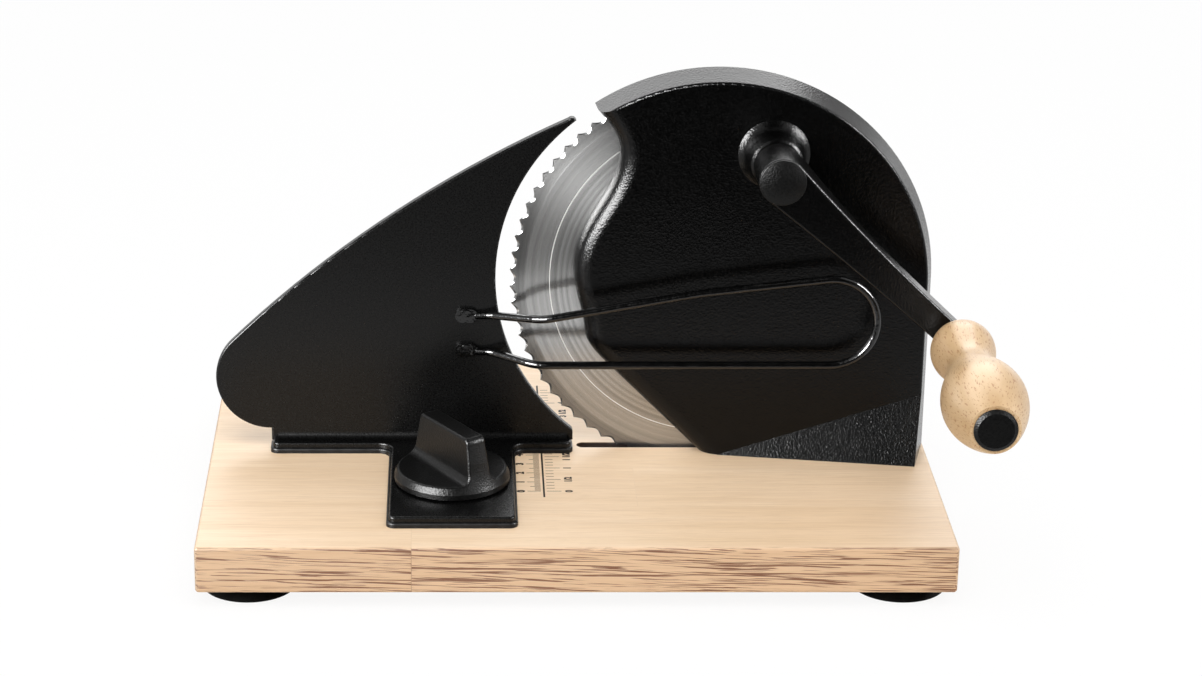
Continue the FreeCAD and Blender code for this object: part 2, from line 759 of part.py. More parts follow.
def blade():
    # A scalloped rim cut from a disc whose user side is ground to a bevel.
    valley_r = BLADE_R - TOOTH_DEPTH
    step = 2.0 * math.pi / BLADE_TEETH
    edges = []
    for i in range(BLADE_TEETH):
        a0 = step * (i - 0.5)
        a1 = step * (i + 0.5)
        am = step * i
        pts = [(BLADE_R, a0), (valley_r, am), (BLADE_R, a1)]
        edges.append(arc(*[V(r * math.cos(a), 0, r * math.sin(a)) for r, a in pts]))
    rim = push(Part.Wire(edges), V(0, BLADE_T + 2.0, 0))
    rim.translate(V(0, -1.0, 0))
    disc = spun(
        [
            V(POST_R + SLEEVE_T + HUB_WALL + 0.05, 0, 0),
            V(BLADE_R - TOOTH_DEPTH - BEVEL_W, 0, 0),
            V(BLADE_R + 1.0, BLADE_T - BLADE_EDGE_T, 0),
            V(BLADE_R + 1.0, BLADE_T, 0),
            V(POST_R + SLEEVE_T + HUB_WALL + 0.05, BLADE_T, 0),
        ],
        V(0, 0, 0),
        V(0, 1, 0),
    )
    plate = disc.common(rim)
    plate.translate(V(BLADE_X, BLADE_FRONT, BLADE_Z))
    for a in screw_angles():
        x = BLADE_X + BLADE_SCREW_RING * math.cos(a)
        z = BLADE_Z + BLADE_SCREW_RING * math.sin(a)
        plate = plate.cut(cone_y(x, z, BLADE_FRONT - 0.4, FOOD_Y, BLADE_SCREW_R + 0.3, BLADE_SCREW_HEAD_R))
    return plate


def blade_screws():
    screws = []
    for a in screw_angles():
        x = BLADE_X + BLADE_SCREW_RING * math.cos(a)
        z = BLADE_Z + BLADE_SCREW_RING * math.sin(a)
        head = cone_y(x, z, BLADE_FRONT, FOOD_Y, BLADE_SCREW_R, BLADE_SCREW_HEAD_R - 0.3)
        shank = cyl_y(x, z, FOOD_Y - BLADE_SCREW_LEN, BLADE_FRONT, BLADE_SCREW_R - FIT_GAP)
        cross = box(x - 1.8, FOOD_Y - 0.6, z - 0.35, x + 1.8, FOOD_Y + 1.0, z + 0.35)
        screws.append(fuse(head, shank).cut(cross))
    return Part.makeCompound(screws)


def axle_sleeve():
    tube = cyl_y(BLADE_X, BLADE_Z, PAD_Y, CAP_Y, POST_R + SLEEVE_T)
    return tube.cut(cyl_y(BLADE_X, BLADE_Z, PAD_Y - 1.0, CAP_Y + 1.0, POST_R + FIT_GAP))


def blade_cap():
    disc = cyl_y(BLADE_X, BLADE_Z, CAP_Y, FOOD_Y, CAP_R)
    return disc.cut(
        [
            cyl_y(BLADE_X, BLADE_Z, CAP_Y - 1.0, FOOD_Y + 1.0, CAP_SCREW_R),
            cone_y(BLADE_X, BLADE_Z, CAP_Y + CAP_T * 0.15, FOOD_Y, CAP_SCREW_R, CAP_SCREW_HEAD_R),
        ]
    )


def blade_cap_screw():
    head = cone_y(BLADE_X, BLADE_Z, CAP_Y + CAP_T * 0.15, FOOD_Y, CAP_SCREW_R, CAP_SCREW_HEAD_R)
    r = CAP_SCREW_R - FIT_GAP
    shank = cyl_y(BLADE_X, BLADE_Z, CAP_Y - CAP_SCREW_LEN + 0.5, CAP_Y + CAP_T * 0.15, r)
    slot = box(BLADE_X - 7.0, FOOD_Y - 1.0, BLADE_Z - 0.6, BLADE_X + 7.0, FOOD_Y + 1.0, BLADE_Z + 0.6)
    return fuse(head, shank).cut(slot)


# Crank


def shaft_bar(y0, y1, gap):
    # Round bar with one flat, as on the shaft's two ends.
    bar = cyl_y(CRANK_X, CRANK_Z, y0, y1, SHAFT_R + gap)
    flat = box(
        CRANK_X - 2 * SHAFT_R,
        y0 - 1.0,
        CRANK_Z + SHAFT_R - SHAFT_FLAT + gap,
        CRANK_X + 2 * SHAFT_R,
        y1 + 1.0,
        CRANK_Z + 2 * SHAFT_R,
    )
    return bar.cut(flat)


def shaft_front():
    return HUB_FRONT + CRANK_POCKET_DEPTH


def crank_shaft():
    back = GEAR_BACK + CLIP_T + 0.3
    round_part = cyl_y(CRANK_X, CRANK_Z, HUB_BACK, GEAR_FRONT, SHAFT_R)
    front = shaft_bar(shaft_front() + 0.3, HUB_BACK, 0.0)
    rear = shaft_bar(GEAR_FRONT, back, 0.0)
    shaft = fuse(round_part, front, rear)
    groove = cyl_y(CRANK_X, CRANK_Z, GEAR_BACK, GEAR_BACK + CLIP_T, 2 * SHAFT_R)
    groove = groove.cut(cyl_y(CRANK_X, CRANK_Z, GEAR_BACK, GEAR_BACK + CLIP_T, SHAFT_R - 0.8))
    tapped = cyl_y(
        CRANK_X, CRANK_Z, shaft_front(), shaft_front() + CRANK_SCREW_LEN, CRANK_SCREW_R
    )
    return shaft.cut([groove, tapped])


def shaft_clip():
    ring = cyl_y(CRANK_X, CRANK_Z, GEAR_BACK, GEAR_BACK + CLIP_T, CLIP_R)
    ring = ring.cut(cyl_y(CRANK_X, CRANK_Z, GEAR_BACK - 1.0, GEAR_BACK + 2.0, SHAFT_R - 0.8))
    mouth = box(CRANK_X - 3.2, GEAR_BACK - 1.0, CRANK_Z - FAR, CRANK_X + 3.2, GEAR_BACK + 2.0, CRANK_Z)
    return ring.cut(mouth)


def crank_bushes():
    bushes = []
    bore_r = SHAFT_R + RUN_GAP
    sleeve_r = SHAFT_R + BUSH_T
    for seat, way in ((BOSS_FRONT, 1.0), (INNER_Y, -1.0)):
        flange_y = sorted((seat, seat - way * BUSH_FLANGE_T))
        tube_y = sorted((seat, seat + way * BUSH_LEN))
        bush = fuse(
            cyl_y(CRANK_X, CRANK_Z, flange_y[0], flange_y[1], BUSH_FLANGE_R),
            cyl_y(CRANK_X, CRANK_Z, tube_y[0], tube_y[1], sleeve_r - FIT_GAP),
        )
        bushes.append(bush.cut(cyl_y(CRANK_X, CRANK_Z, seat - FAR, seat + FAR, bore_r)))
    return Part.makeCompound(bushes)


def crank_arm():
    # Seen from the front it narrows from hub to tip; seen from the side its back
    # falls away from the hub in a long curve, so that it clears the wire guard.
    y = HUB_FRONT
    sides = []
    for way, mid, tip in ((1.0, ARM_MID_UP, ARM_TIP_UP), (-1.0, ARM_MID_DOWN, ARM_TIP_DOWN)):
        curve = Part.BSplineCurve()
        curve.interpolate([V(0, y, way * HUB_R), V(ARM_MID_S, y, way * mid), V(CRANK_R, y, way * tip)])
        sides.append(curve.toShape())
    ends = [sides[1].Vertexes[-1].Point, sides[0].Vertexes[-1].Point]
    plan = Part.Wire(
        [
            sides[0],
            arc(ends[1], V(CRANK_R + ARM_END_R, y, 0), ends[0]),
            sides[1],
            arc(V(0, y, -HUB_R), V(-HUB_R, y, 0), V(0, y, HUB_R)),
        ]
    )
    arm = push(plan, V(0, HUB_LEN, 0))
    far = CRANK_R + ARM_END_R + ARM_CLEAR
    near = HUB_R - 1.0
    slope = Part.BSplineCurve()
    slope.interpolate(
        [
            V(near, HUB_BACK + 0.01, -FAR),
            V(HUB_R + ARM_ROOT_S, HUB_FRONT + ARM_ROOT_T, -FAR),
            V(ARM_MID_S, HUB_FRONT + ARM_MID_T, -FAR),
            V(far, HUB_FRONT + ARM_END_T - 0.6, -FAR),
        ]
    )
    back = HUB_BACK + ARM_CLEAR
    away = Part.Wire(
        [
            slope.toShape(),
            line(V(far, HUB_FRONT + ARM_END_T - 0.6, -FAR), V(far, back, -FAR)),
            line(V(far, back, -FAR), V(near, back, -FAR)),
            line(V(near, back, -FAR), V(near, HUB_BACK + 0.01, -FAR)),
        ]
    )
    arm = arm.cut(push(away, V(0, 0, 2.0 * FAR)))
    hub = cyl_y(0, 0, HUB_FRONT, HUB_BACK, HUB_R)
    arm = fuse(arm, hub)
    rim = edges_where(arm, lambda e: e.BoundBox.YMax < HUB_FRONT + 0.01)
    arm = arm.makeFillet(ARM_EDGE_R, rim)
    arm.rotate(V(0, 0, 0), V(0, 1, 0), -CRANK_ANGLE)
    arm.translate(V(CRANK_X, 0, CRANK_Z))
    cuts = [
        shaft_bar(shaft_front() - 1.0, HUB_BACK + 1.0, FIT_GAP),
        cyl_y(CRANK_X, CRANK_Z, HUB_FRONT - 1.0, shaft_front(), CRANK_POCKET_R),
        cyl_y(GRIP_X, GRIP_Z, HUB_FRONT - 1.0, HUB_FRONT + ARM_MID_T, SPINDLE_R),
    ]
    return arm.cut(cuts)


def crank_washer():
    y = shaft_front() - CRANK_WASHER_T
    ring = cyl_y(CRANK_X, CRANK_Z, y, shaft_front(), CRANK_WASHER_R)
    return ring.cut(cyl_y(CRANK_X, CRANK_Z, y - 1.0, y + 3.0, CRANK_SCREW_R))


def crank_screw():
    y = shaft_front() - CRANK_WASHER_T
    head = cyl_y(CRANK_X, CRANK_Z, y - CRANK_SCREW_HEAD_T, y, CRANK_SCREW_HEAD_R)
    shank = cyl_y(CRANK_X, CRANK_Z, y, shaft_front() + CRANK_SCREW_LEN - 0.5, CRANK_SCREW_R - FIT_GAP)
    socket = Part.Face(
        loop([V(CRANK_X + 2.3 * math.cos(math.radians(60 * i)), y - 4.0, CRANK_Z + 2.3 * math.sin(math.radians(60 * i))) for i in range(6)])
    ).extrude(V(0, 2.8, 0))
    return fuse(head, shank).cut(socket)


def hub_cap():
    # Push-in cap with a domed face, a soft edge and a hollow skirt.
    r = HUB_R - 0.3
    y = HUB_FRONT
    skirt = CRANK_POCKET_R - FIT_GAP
    edge = HUB_CAP_EDGE
    brow = r - edge
    front = y - HUB_CAP_T
    low = front + HUB_CAP_DOME
    k = 1.0 - math.sqrt(0.5)
    dome = [
        arc(V(0, front, 0), V(brow / 2.0, front + HUB_CAP_DOME / 4.0, 0), V(brow, low, 0)),
        arc(V(brow, low, 0), V(r - edge * k, low + edge * k, 0), V(r, low + edge, 0)),
    ]
    points = [
        V(r, low + edge, 0),
        V(r, y, 0),
        V(skirt, y, 0),
        V(skirt, y + 3.6, 0),
        V(skirt - 1.2, y + 3.6, 0),
        V(skirt - 1.2, y, 0),
        V(0, y, 0),
        V(0, front, 0),
    ]
    sides = [line(a, b) for a, b in zip(points, points[1:])]
    cap = Part.Face(Part.Wire(dome + sides)).revolve(V(0, 0, 0), V(0, 1, 0), 360)
    cap.translate(V(CRANK_X, 0, CRANK_Z))
    return cap


def handle_spindle():
    # Shoulder screw: its head is sunk in the grip, its tail is riveted in the arm.
    head_y = GRIP_FRONT + GRIP_POCKET_DEPTH
    head = cyl_y(GRIP_X, GRIP_Z, head_y - SPINDLE_HEAD_T, head_y - 0.2, SPINDLE_HEAD_R)
    tail_y = HUB_FRONT + ARM_END_T - 1.0
    shank = cyl_y(GRIP_X, GRIP_Z, head_y - 0.3, tail_y, SPINDLE_R - FIT_GAP)
    slot = box(GRIP_X - FAR, head_y - SPINDLE_HEAD_T - 1.0, GRIP_Z - 0.7, GRIP_X + FAR, head_y - SPINDLE_HEAD_T + 1.2, GRIP_Z + 0.7)
    return fuse(head, shank).cut(slot)


def handle_washer():
    y = HUB_FRONT
    ring = cyl_y(GRIP_X, GRIP_Z, y - GRIP_WASHER_T, y, GRIP_WASHER_R)
    return ring.cut(cyl_y(GRIP_X, GRIP_Z, y - 3.0, y + 1.0, SPINDLE_R))


def handle_grip():
    # Turned wooden grip: a small bead at the arm, a waist and a long egg.
    back = GRIP_BACK
    front = GRIP_FRONT
    profile = Part.BSplineCurve()
    profile.interpolate(
        [
            V(GRIP_END_R, back, 0),
            V(GRIP_LOBE_R, back - GRIP_LOBE_S, 0),
            V(GRIP_WAIST_R, back - GRIP_WAIST_S, 0),
            V((GRIP_WAIST_R + GRIP_BULB_R) / 2.0, back - (GRIP_WAIST_S + GRIP_BULB_S) / 2.0, 0),
            V(GRIP_BULB_R, back - GRIP_BULB_S, 0),
            V(GRIP_SHOULDER_R, back - GRIP_SHOULDER_S, 0),
            V(GRIP_TIP_R, front, 0),
        ]
    )
    bore = SPINDLE_R + RUN_GAP
    edges = [
        profile.toShape(),
        line(V(GRIP_TIP_R, front, 0), V(PLUG_STEM_R, front, 0)),
        line(V(PLUG_STEM_R, front, 0), V(PLUG_STEM_R, front + GRIP_POCKET_DEPTH, 0)),
        line(V(PLUG_STEM_R, front + GRIP_POCKET_DEPTH, 0), V(bore, front + GRIP_POCKET_DEPTH, 0)),
        line(V(bore, front + GRIP_POCKET_DEPTH, 0), V(bore, back, 0)),
        line(V(bore, back, 0), V(GRIP_END_R, back, 0)),
    ]
    grip = Part.Face(Part.Wire(edges)).revolve(V(0, 0, 0), V(0, 1, 0), 360)
    grip.translate(V(GRIP_X, 0, GRIP_Z))
    return grip


def handle_plug():
    y = GRIP_FRONT
    stem_r = PLUG_STEM_R - FIT_GAP
    points = [
        V(0, y - PLUG_FACE_T, 0),
        V(PLUG_R - 1.5, y - PLUG_FACE_T, 0),
        V(PLUG_R, y - PLUG_FACE_T * 0.4, 0),
        V(PLUG_R, y, 0),
        V(stem_r, y, 0),
        V(stem_r, y + PLUG_STEM_LEN, 0),
        V(stem_r - 1.5, y + PLUG_STEM_LEN, 0),
        V(stem_r - 1.5, y + 0.6, 0),
        V(0, y + 0.6, 0),
    ]
    plug = spun(points, V(0, 0, 0), V(0, 1, 0))
    plug.translate(V(GRIP_X, 0, GRIP_Z))
    return plug


# Fence


def crown_centre(nose, top):
    # Centre of the long top edge, which runs through the tip and blends into the nose.
    near = FENCE_TOP_R - NOSE_R
    gap = (top - nose).Length
    u = (top - nose) / gap
    along = (near ** 2 - FENCE_TOP_R ** 2 + gap ** 2) / (2.0 * gap)
    across = math.sqrt(near ** 2 - along ** 2)
    return nose + u * along + V(u.z, 0, -u.x) * across


def fence_outline(y):
    # Upright plate: a long nearly straight top edge, a round nose at the far left
    # and a hollow that follows the blade.
    tip_z = FENCE_ARC_Z + math.sqrt(FENCE_ARC_R ** 2 - (FENCE_ARC_X - FENCE_TIP_X) ** 2)
    low_z = FOOT_TOP - 1.0
    heel_z = FENCE_ARC_Z - math.sqrt(FENCE_ARC_R ** 2 - (FENCE_ARC_X - FENCE_FOOT_RIGHT) ** 2)
    heel = V(FENCE_FOOT_RIGHT, y, heel_z)
    tip = V(FENCE_TIP_X, y, tip_z)
    top = V(FENCE_TIP_X - 3.4, y, tip_z + 0.6)
    nose = V(NOSE_X, y, NOSE_Z)
    crown = crown_centre(nose, top)
    nose_top = nose + (nose - crown) / (nose - crown).Length * NOSE_R
    nose_left = V(NOSE_X - NOSE_R, y, NOSE_Z)
    nose_low = V(NOSE_X, y, NOSE_Z - NOSE_R)
    half = (top + nose_top) / 2.0 - crown
    mid = crown + half / half.Length * FENCE_TOP_R
    foot = V(NOSE_X, y, low_z)
    return Part.Wire(
        [
            arc(tip, V(FENCE_TIP_X - 1.2, y, tip_z + 1.1), top),
            arc(top, mid, nose_top),
            arc(nose_top, nose_left, nose_low),
            line(nose_low, foot),
            line(foot, V(FENCE_FOOT_RIGHT, y, low_z)),
            line(V(FENCE_FOOT_RIGHT, y, low_z), heel),
            arc(heel, V(FENCE_ARC_X - FENCE_ARC_R, y, FENCE_ARC_Z), tip),
        ]
    )


def foot_outline(grow, z):
    # Long flange under the plate with a tongue towards the user.
    left = FENCE_FOOT_LEFT - grow
    right = FENCE_FOOT_RIGHT - FOOT_END + grow
    back = FOOD_Y
    front = FENCE_FOOT_FRONT - grow
    t0 = TONGUE_X - TONGUE_W / 2.0 - grow
    t1 = TONGUE_X + TONGUE_W / 2.0 + grow
    tip = TONGUE_FRONT - grow
    f = TONGUE_FILLET - grow
    c = TONGUE_CORNER + grow
    k = 1.0 - math.sqrt(0.5)
    edges = [
        line(V(left, back, z), V(left, front + c, z)),
        arc(V(left, front + c, z), V(left + c * k, front + c * k, z), V(left + c, front, z)),
        line(V(left + c, front, z), V(t0 - f, front, z)),
        arc(V(t0 - f, front, z), V(t0 - f * k, front - f * k, z), V(t0, front - f, z)),
        line(V(t0, front - f, z), V(t0, tip + c, z)),
        arc(V(t0, tip + c, z), V(t0 + c * k, tip + c * k, z), V(t0 + c, tip, z)),
        line(V(t0 + c, tip, z), V(t1 - c, tip, z)),
        arc(V(t1 - c, tip, z), V(t1 - c * k, tip + c * k, z), V(t1, tip + c, z)),
        line(V(t1, tip + c, z), V(t1, front - f, z)),
        arc(V(t1, front - f, z), V(t1 + f * k, front - f * k, z), V(t1 + f, front, z)),
        line(V(t1 + f, front, z), V(right - c, front, z)),
        arc(V(right - c, front, z), V(right - c * k, front + c * k, z), V(right, front + c, z)),
        line(V(right, front + c, z), V(right, back, z)),
        line(V(right, back, z), V(left, back, z)),
    ]
    return Part.Wire(edges)


def stud_slot(z0, z1):
    r = STUD_R + STUD_CLEAR
    y1 = KNOB_Y + FENCE_TRAVEL
    slot = box(TONGUE_X - r, KNOB_Y, z0, TONGUE_X + r, y1, z1)
    return fuse(slot, cyl_z(TONGUE_X, KNOB_Y, z0, z1, r), cyl_z(TONGUE_X, y1, z0, z1, r))


def layer(grow, z0, z1, r):
    # One layer of the foot with its top edge rounded over, except at the back.
    slab = push(foot_outline(grow, z0), V(0, 0, z1 - z0))
    top = []
    for e in slab.Edges:
        b = e.BoundBox
        if b.ZMin > z1 - 0.01 and b.YMin < FOOD_Y - 0.1:
            top.append(e)
    return slab.makeFillet(r, top)


def fence_plate():
    plate = push(fence_outline(FENCE_FRONT), V(0, FENCE_T, 0))
    heel = []
    for e in plate.Edges:
        p = e.CenterOfMass
        if abs(p.x - FENCE_FOOT_RIGHT) < 0.01 and stretch_y(e) > 1.0 and p.z > FOOT_TOP:
            heel.append(e)
    plate = plate.makeFillet(FENCE_HEEL_R, heel)
    rim = []
    for e in plate.Edges:
        b = e.BoundBox
        if b.YMax < FENCE_FRONT + 0.01 and b.ZMax > FOOT_TOP + 0.5 and b.ZMin > FOOT_TOP - 1.5:
            if stretch_y(e) < 0.01 and b.ZMax - b.ZMin > 0.5:
                rim.append(e)
    plate = plate.makeFillet(0.8, rim)
    foot = layer(0.0, PAD_T, FOOT_TOP, 0.9)
    z = FOOT_TOP
    r = 3.0
    x0 = NOSE_X + 3.0
    x1 = FENCE_FOOT_RIGHT - FOOT_END - 1.5
    y = FENCE_FRONT
    web = Part.Wire(
        [
            line(V(x0, y + 0.5, z - 0.5), V(x0, y - r, z - 0.5)),
            line(V(x0, y - r, z - 0.5), V(x0, y - r, z)),
            arc(V(x0, y - r, z), V(x0, y - r * 0.293, z + r * 0.293), V(x0, y, z + r)),
            line(V(x0, y, z + r), V(x0, y + 0.5, z + r)),
            line(V(x0, y + 0.5, z + r), V(x0, y + 0.5, z - 0.5)),
        ]
    )
    fence = fuse(plate, foot, push(web, V(x1 - x0, 0, 0)))
    cuts = [stud_slot(-1.0, FOOT_TOP + 1.0)]
    for z in (WIRE_UPPER_Z, WIRE_LOWER_Z):
        cuts.append(cyl_y(WIRE_LUG_X, z, FENCE_FRONT - 1.0, FOOD_Y + 1.0, RIVET_R))
        cuts.append(cone_y(WIRE_LUG_X, z, FOOD_Y - 1.2, FOOD_Y, RIVET_R, RIVET_R + 1.2))
    return fence.cut(cuts)


def slide_pad():
    pad = layer(PAD_LEDGE, 0.0, PAD_T, 0.9)
    pad = pad.cut(box(-FAR, FOOD_Y, -FAR, FAR, FAR, FAR))
    keys = [key_box(x, 0.0, PAD_T - 0.5) for x in key_xs()]
    pad = fuse(pad, *keys)
    return pad.cut(stud_slot(-FAR, FOOT_TOP + 1.0))


def knob_rise():
    # Bell shaped side of the knob: rim, hollow flare and steep wing ends.
    z = KNOB_BASE
    r = KNOB_R
    neck = KNOB_TOP_R + KNOB_NECK_R
    edge = KNOB_TOP_R - KNOB_EDGE
    top = z + KNOB_H
    turn = KNOB_EDGE * (1.0 - math.sqrt(0.5))
    return [
        line(V(0, 0, z), V(r, 0, z)),
        line(V(r, 0, z), V(r, 0, z + KNOB_RIM_H)),
        arc(V(r, 0, z + KNOB_RIM_H), V(KNOB_TOP_R + KNOB_FLARE_R, 0, z + KNOB_FLARE_H), V(neck, 0, z + KNOB_NECK_H)),
        line(V(neck, 0, z + KNOB_NECK_H), V(KNOB_TOP_R, 0, top - KNOB_EDGE)),
        arc(V(KNOB_TOP_R, 0, top - KNOB_EDGE), V(KNOB_TOP_R - turn, 0, top - turn), V(edge, 0, top)),
        line(V(edge, 0, top), V(0, 0, top)),
        line(V(0, 0, top), V(0, 0, z)),
    ]


def pocket(side):
    # Room beside the wing: a leaning wing face blended into the knob's floor.
    floor = KNOB_BASE + KNOB_FLOOR
    top = KNOB_BASE + KNOB_H + 1.0
    half = WING_T / 2.0
    reach = KNOB_R + 5.0
    lean = math.radians(WING_LEAN)
    r = WING_FOOT_R
    z = floor + r * (1.0 - math.sin(lean))
    y = half + (top - z) * math.tan(lean)
    centre_y = y + r * math.cos(lean)
    turn = math.radians(225.0 - WING_LEAN / 2.0)
    middle = V(-reach, side * (centre_y + r * math.cos(turn)), floor + r + r * math.sin(turn))
    low = V(-reach, side * centre_y, floor)
    high = V(-reach, side * y, z)
    section = Part.Wire(
        [
            line(V(-reach, side * reach, floor), low),
            arc(low, middle, high),
            line(high, V(-reach, side * half, top)),
            line(V(-reach, side * half, top), V(-reach, side * reach, top)),
            line(V(-reach, side * reach, top), V(-reach, side * reach, floor)),
        ]
    )
    return push(section, V(2.0 * reach, 0, 0))


def on_pocket_rim(edge):
    # True where a pocket meets the bell, false for the folds inside it.
    b = edge.BoundBox
    fold = edge.Curve.TypeId == "Part::GeomLine" and b.ZMax < KNOB_BASE + KNOB_H - 0.01
    return b.YMin * b.YMax > 0.0 and not fold


def clamp_knob():
    bell = Part.Face(Part.Wire(knob_rise())).revolve(V(0, 0, 0), V(0, 0, 1), 360)
    bell = bell.cut([pocket(-1.0), pocket(1.0)])
    bell = rounded(bell, WING_EDGE_R, edges_where(bell, on_pocket_rim))
    bell.rotate(V(0, 0, 0), V(0, 0, 1), WING_ANGLE)
    bell.translate(V(TONGUE_X, KNOB_Y, 0))
    insert_r = STUD_R + RUN_GAP + INSERT_WALL
    return bell.cut(cyl_z(TONGUE_X, KNOB_Y, KNOB_BASE - 1.0, KNOB_BASE + INSERT_LEN, insert_r))


def knob_insert():
    r = STUD_R + RUN_GAP
    body = cyl_z(TONGUE_X, KNOB_Y, KNOB_BASE, KNOB_BASE + INSERT_LEN, r + INSERT_WALL - FIT_GAP)
    return body.cut(cyl_z(TONGUE_X, KNOB_Y, KNOB_BASE - 1.0, KNOB_BASE + INSERT_LEN - 1.0, r))


def knob_washer():
    ring = cyl_z(TONGUE_X, KNOB_Y, FOOT_TOP, KNOB_BASE, KNOB_WASHER_R)
    return ring.cut(cyl_z(TONGUE_X, KNOB_Y, FOOT_TOP - 1.0, KNOB_BASE + 1.0, STUD_R + 0.1))


def clamp_stud():
    seat = -BOARD_T + COUNTERBORE - STUD_WASHER_T
    top = KNOB_BASE + STUD_IN_KNOB
    points = [
        V(0, 0, seat - STUD_HEAD_T),
        V(STUD_HEAD_R * 0.6, 0, seat - STUD_HEAD_T * 0.85),
        V(STUD_HEAD_R, 0, seat - 0.8),
        V(STUD_HEAD_R, 0, seat),
        V(STUD_R, 0, seat),
        V(STUD_R, 0, top - 0.8),
        V(STUD_R - 0.8, 0, top),
        V(0, 0, top),
    ]
    stud = spun(points, V(0, 0, 0), V(0, 0, 1))
    stud.translate(V(TONGUE_X, KNOB_Y, 0))
    return stud


def stud_washer():
    z = -BOARD_T + COUNTERBORE
    ring = cyl_z(TONGUE_X, KNOB_Y, z - STUD_WASHER_T, z, STUD_WASHER_R)
    return ring.cut(cyl_z(TONGUE_X, KNOB_Y, z - 3.0, z + 1.0, STUD_R + FIT_GAP))


# Wire guard


def bent_path(points, radii):
    # Straight runs joined by tangent arcs, one radius for each inner point.
    edges = []
    here = points[0]
    for i in range(1, len(points) - 1):
        a, b, c = points[i - 1], points[i], points[i + 1]
        u = (a - b).normalize()
        w = (c - b).normalize()
        half = math.acos(max(-1.0, min(1.0, u.dot(w)))) / 2.0
        cut = radii[i - 1] / math.tan(half)
        p = b + u * cut
        q = b + w * cut
        way = (u + w).normalize()
        centre = b + way * (radii[i - 1] / math.sin(half))
        m = centre - way * radii[i - 1]
        edges.append(line(here, p))
        edges.append(arc(p, m, q))
        here = q
    edges.append(line(here, points[-1]))
    return Part.Wire(edges)


def wire_run():
    # Both ends start on the fence, step out towards the user and run to the right,
    # where one round turn joins them.
    y0 = FENCE_FRONT - LUG_T / 2.0
    x0 = WIRE_LUG_X + LUG_L / 2.0 - 1.0
    low_z = LOOP_Z - LOOP_R
    # the upper run leaves its last bend on a line that touches the turn
    dx = LOOP_X - WIRE_KNEE_X
    dz = WIRE_KNEE_Z - LOOP_Z
    rise = math.asin(LOOP_R / math.hypot(dx, dz)) - math.atan2(dz, dx)
    touch = V(LOOP_X - LOOP_R * math.sin(rise), WIRE_Y, LOOP_Z + LOOP_R * math.cos(rise))
    upper = [
        V(x0, y0, WIRE_UPPER_Z),
        V(x0 + WIRE_TOE_RUN, y0 - 1.0, WIRE_UPPER_Z + 0.4),
        V(WIRE_BEND_X, WIRE_Y, WIRE_BEND_Z),
        V(WIRE_KNEE_X, WIRE_Y, WIRE_KNEE_Z),
        touch,
    ]
    lower = [
        V(x0, y0, low_z),
        V(x0 + WIRE_TOE_RUN, y0 - 1.0, low_z),
        V(WIRE_BEND_X - 3.0, WIRE_Y, low_z),
        V(LOOP_X, WIRE_Y, low_z),
    ]
    first = bent_path(upper, [WIRE_TOE_R, WIRE_BEND_R, WIRE_KNEE_R])
    turn = arc(touch, V(LOOP_X + LOOP_R, WIRE_Y, LOOP_Z), V(LOOP_X, WIRE_Y, low_z))
    last = bent_path(lower, [WIRE_TOE_R, WIRE_BEND_R])
    return Part.Wire(Part.__sortEdges__(first.Edges + [turn] + last.Edges))


def lug(z):
    # The wire's end pressed flat, with round ends and a rivet hole.
    half = LUG_L / 2.0 - LUG_W / 2.0
    y0 = FENCE_FRONT - LUG_T
    bar = box(WIRE_LUG_X - half, y0, z - LUG_W / 2.0, WIRE_LUG_X + half, FENCE_FRONT, z + LUG_W / 2.0)
    ends = [cyl_y(WIRE_LUG_X + s * half, z, y0, FENCE_FRONT, LUG_W / 2.0) for s in (-1.0, 1.0)]
    return fuse(bar, *ends)


def wire_guard():
    path = wire_run()
    start = path.Edges[0]
    p = start.valueAt(start.FirstParameter)
    t = start.tangentAt(start.FirstParameter)
    ring = Part.Wire(Part.makeCircle(WIRE_R, p, t))
    tube = path.makePipeShell([ring], True, False)
    guard = fuse(tube, lug(WIRE_UPPER_Z), lug(WIRE_LOWER_Z))
    guard = guard.cut(box(0, FENCE_FRONT, 0, FAR, FAR, FAR))
    holes = [cyl_y(WIRE_LUG_X, z, FENCE_FRONT - WIRE_STANDOFF, FENCE_FRONT + 1.0, RIVET_R) for z in (WIRE_UPPER_Z, WIRE_LOWER_Z)]
    return guard.cut(holes)


def guard_rivets():
    rivets = []
    for z in (WIRE_UPPER_Z, WIRE_LOWER_Z):
        shank = cyl_y(WIRE_LUG_X, z, FENCE_FRONT - LUG_T, FOOD_Y - 1.2, RIVET_R - FIT_GAP)
        head = cyl_y(WIRE_LUG_X, z, FENCE_FRONT - LUG_T - RIVET_HEAD_T, FENCE_FRONT - LUG_T, RIVET_HEAD_R)
        flush = cone_y(WIRE_LUG_X, z, FOOD_Y - 1.2, FOOD_Y, RIVET_R, RIVET_R + 1.2)
        rivets.append(fuse(shank, head, flush))
    return Part.makeCompound(rivets)


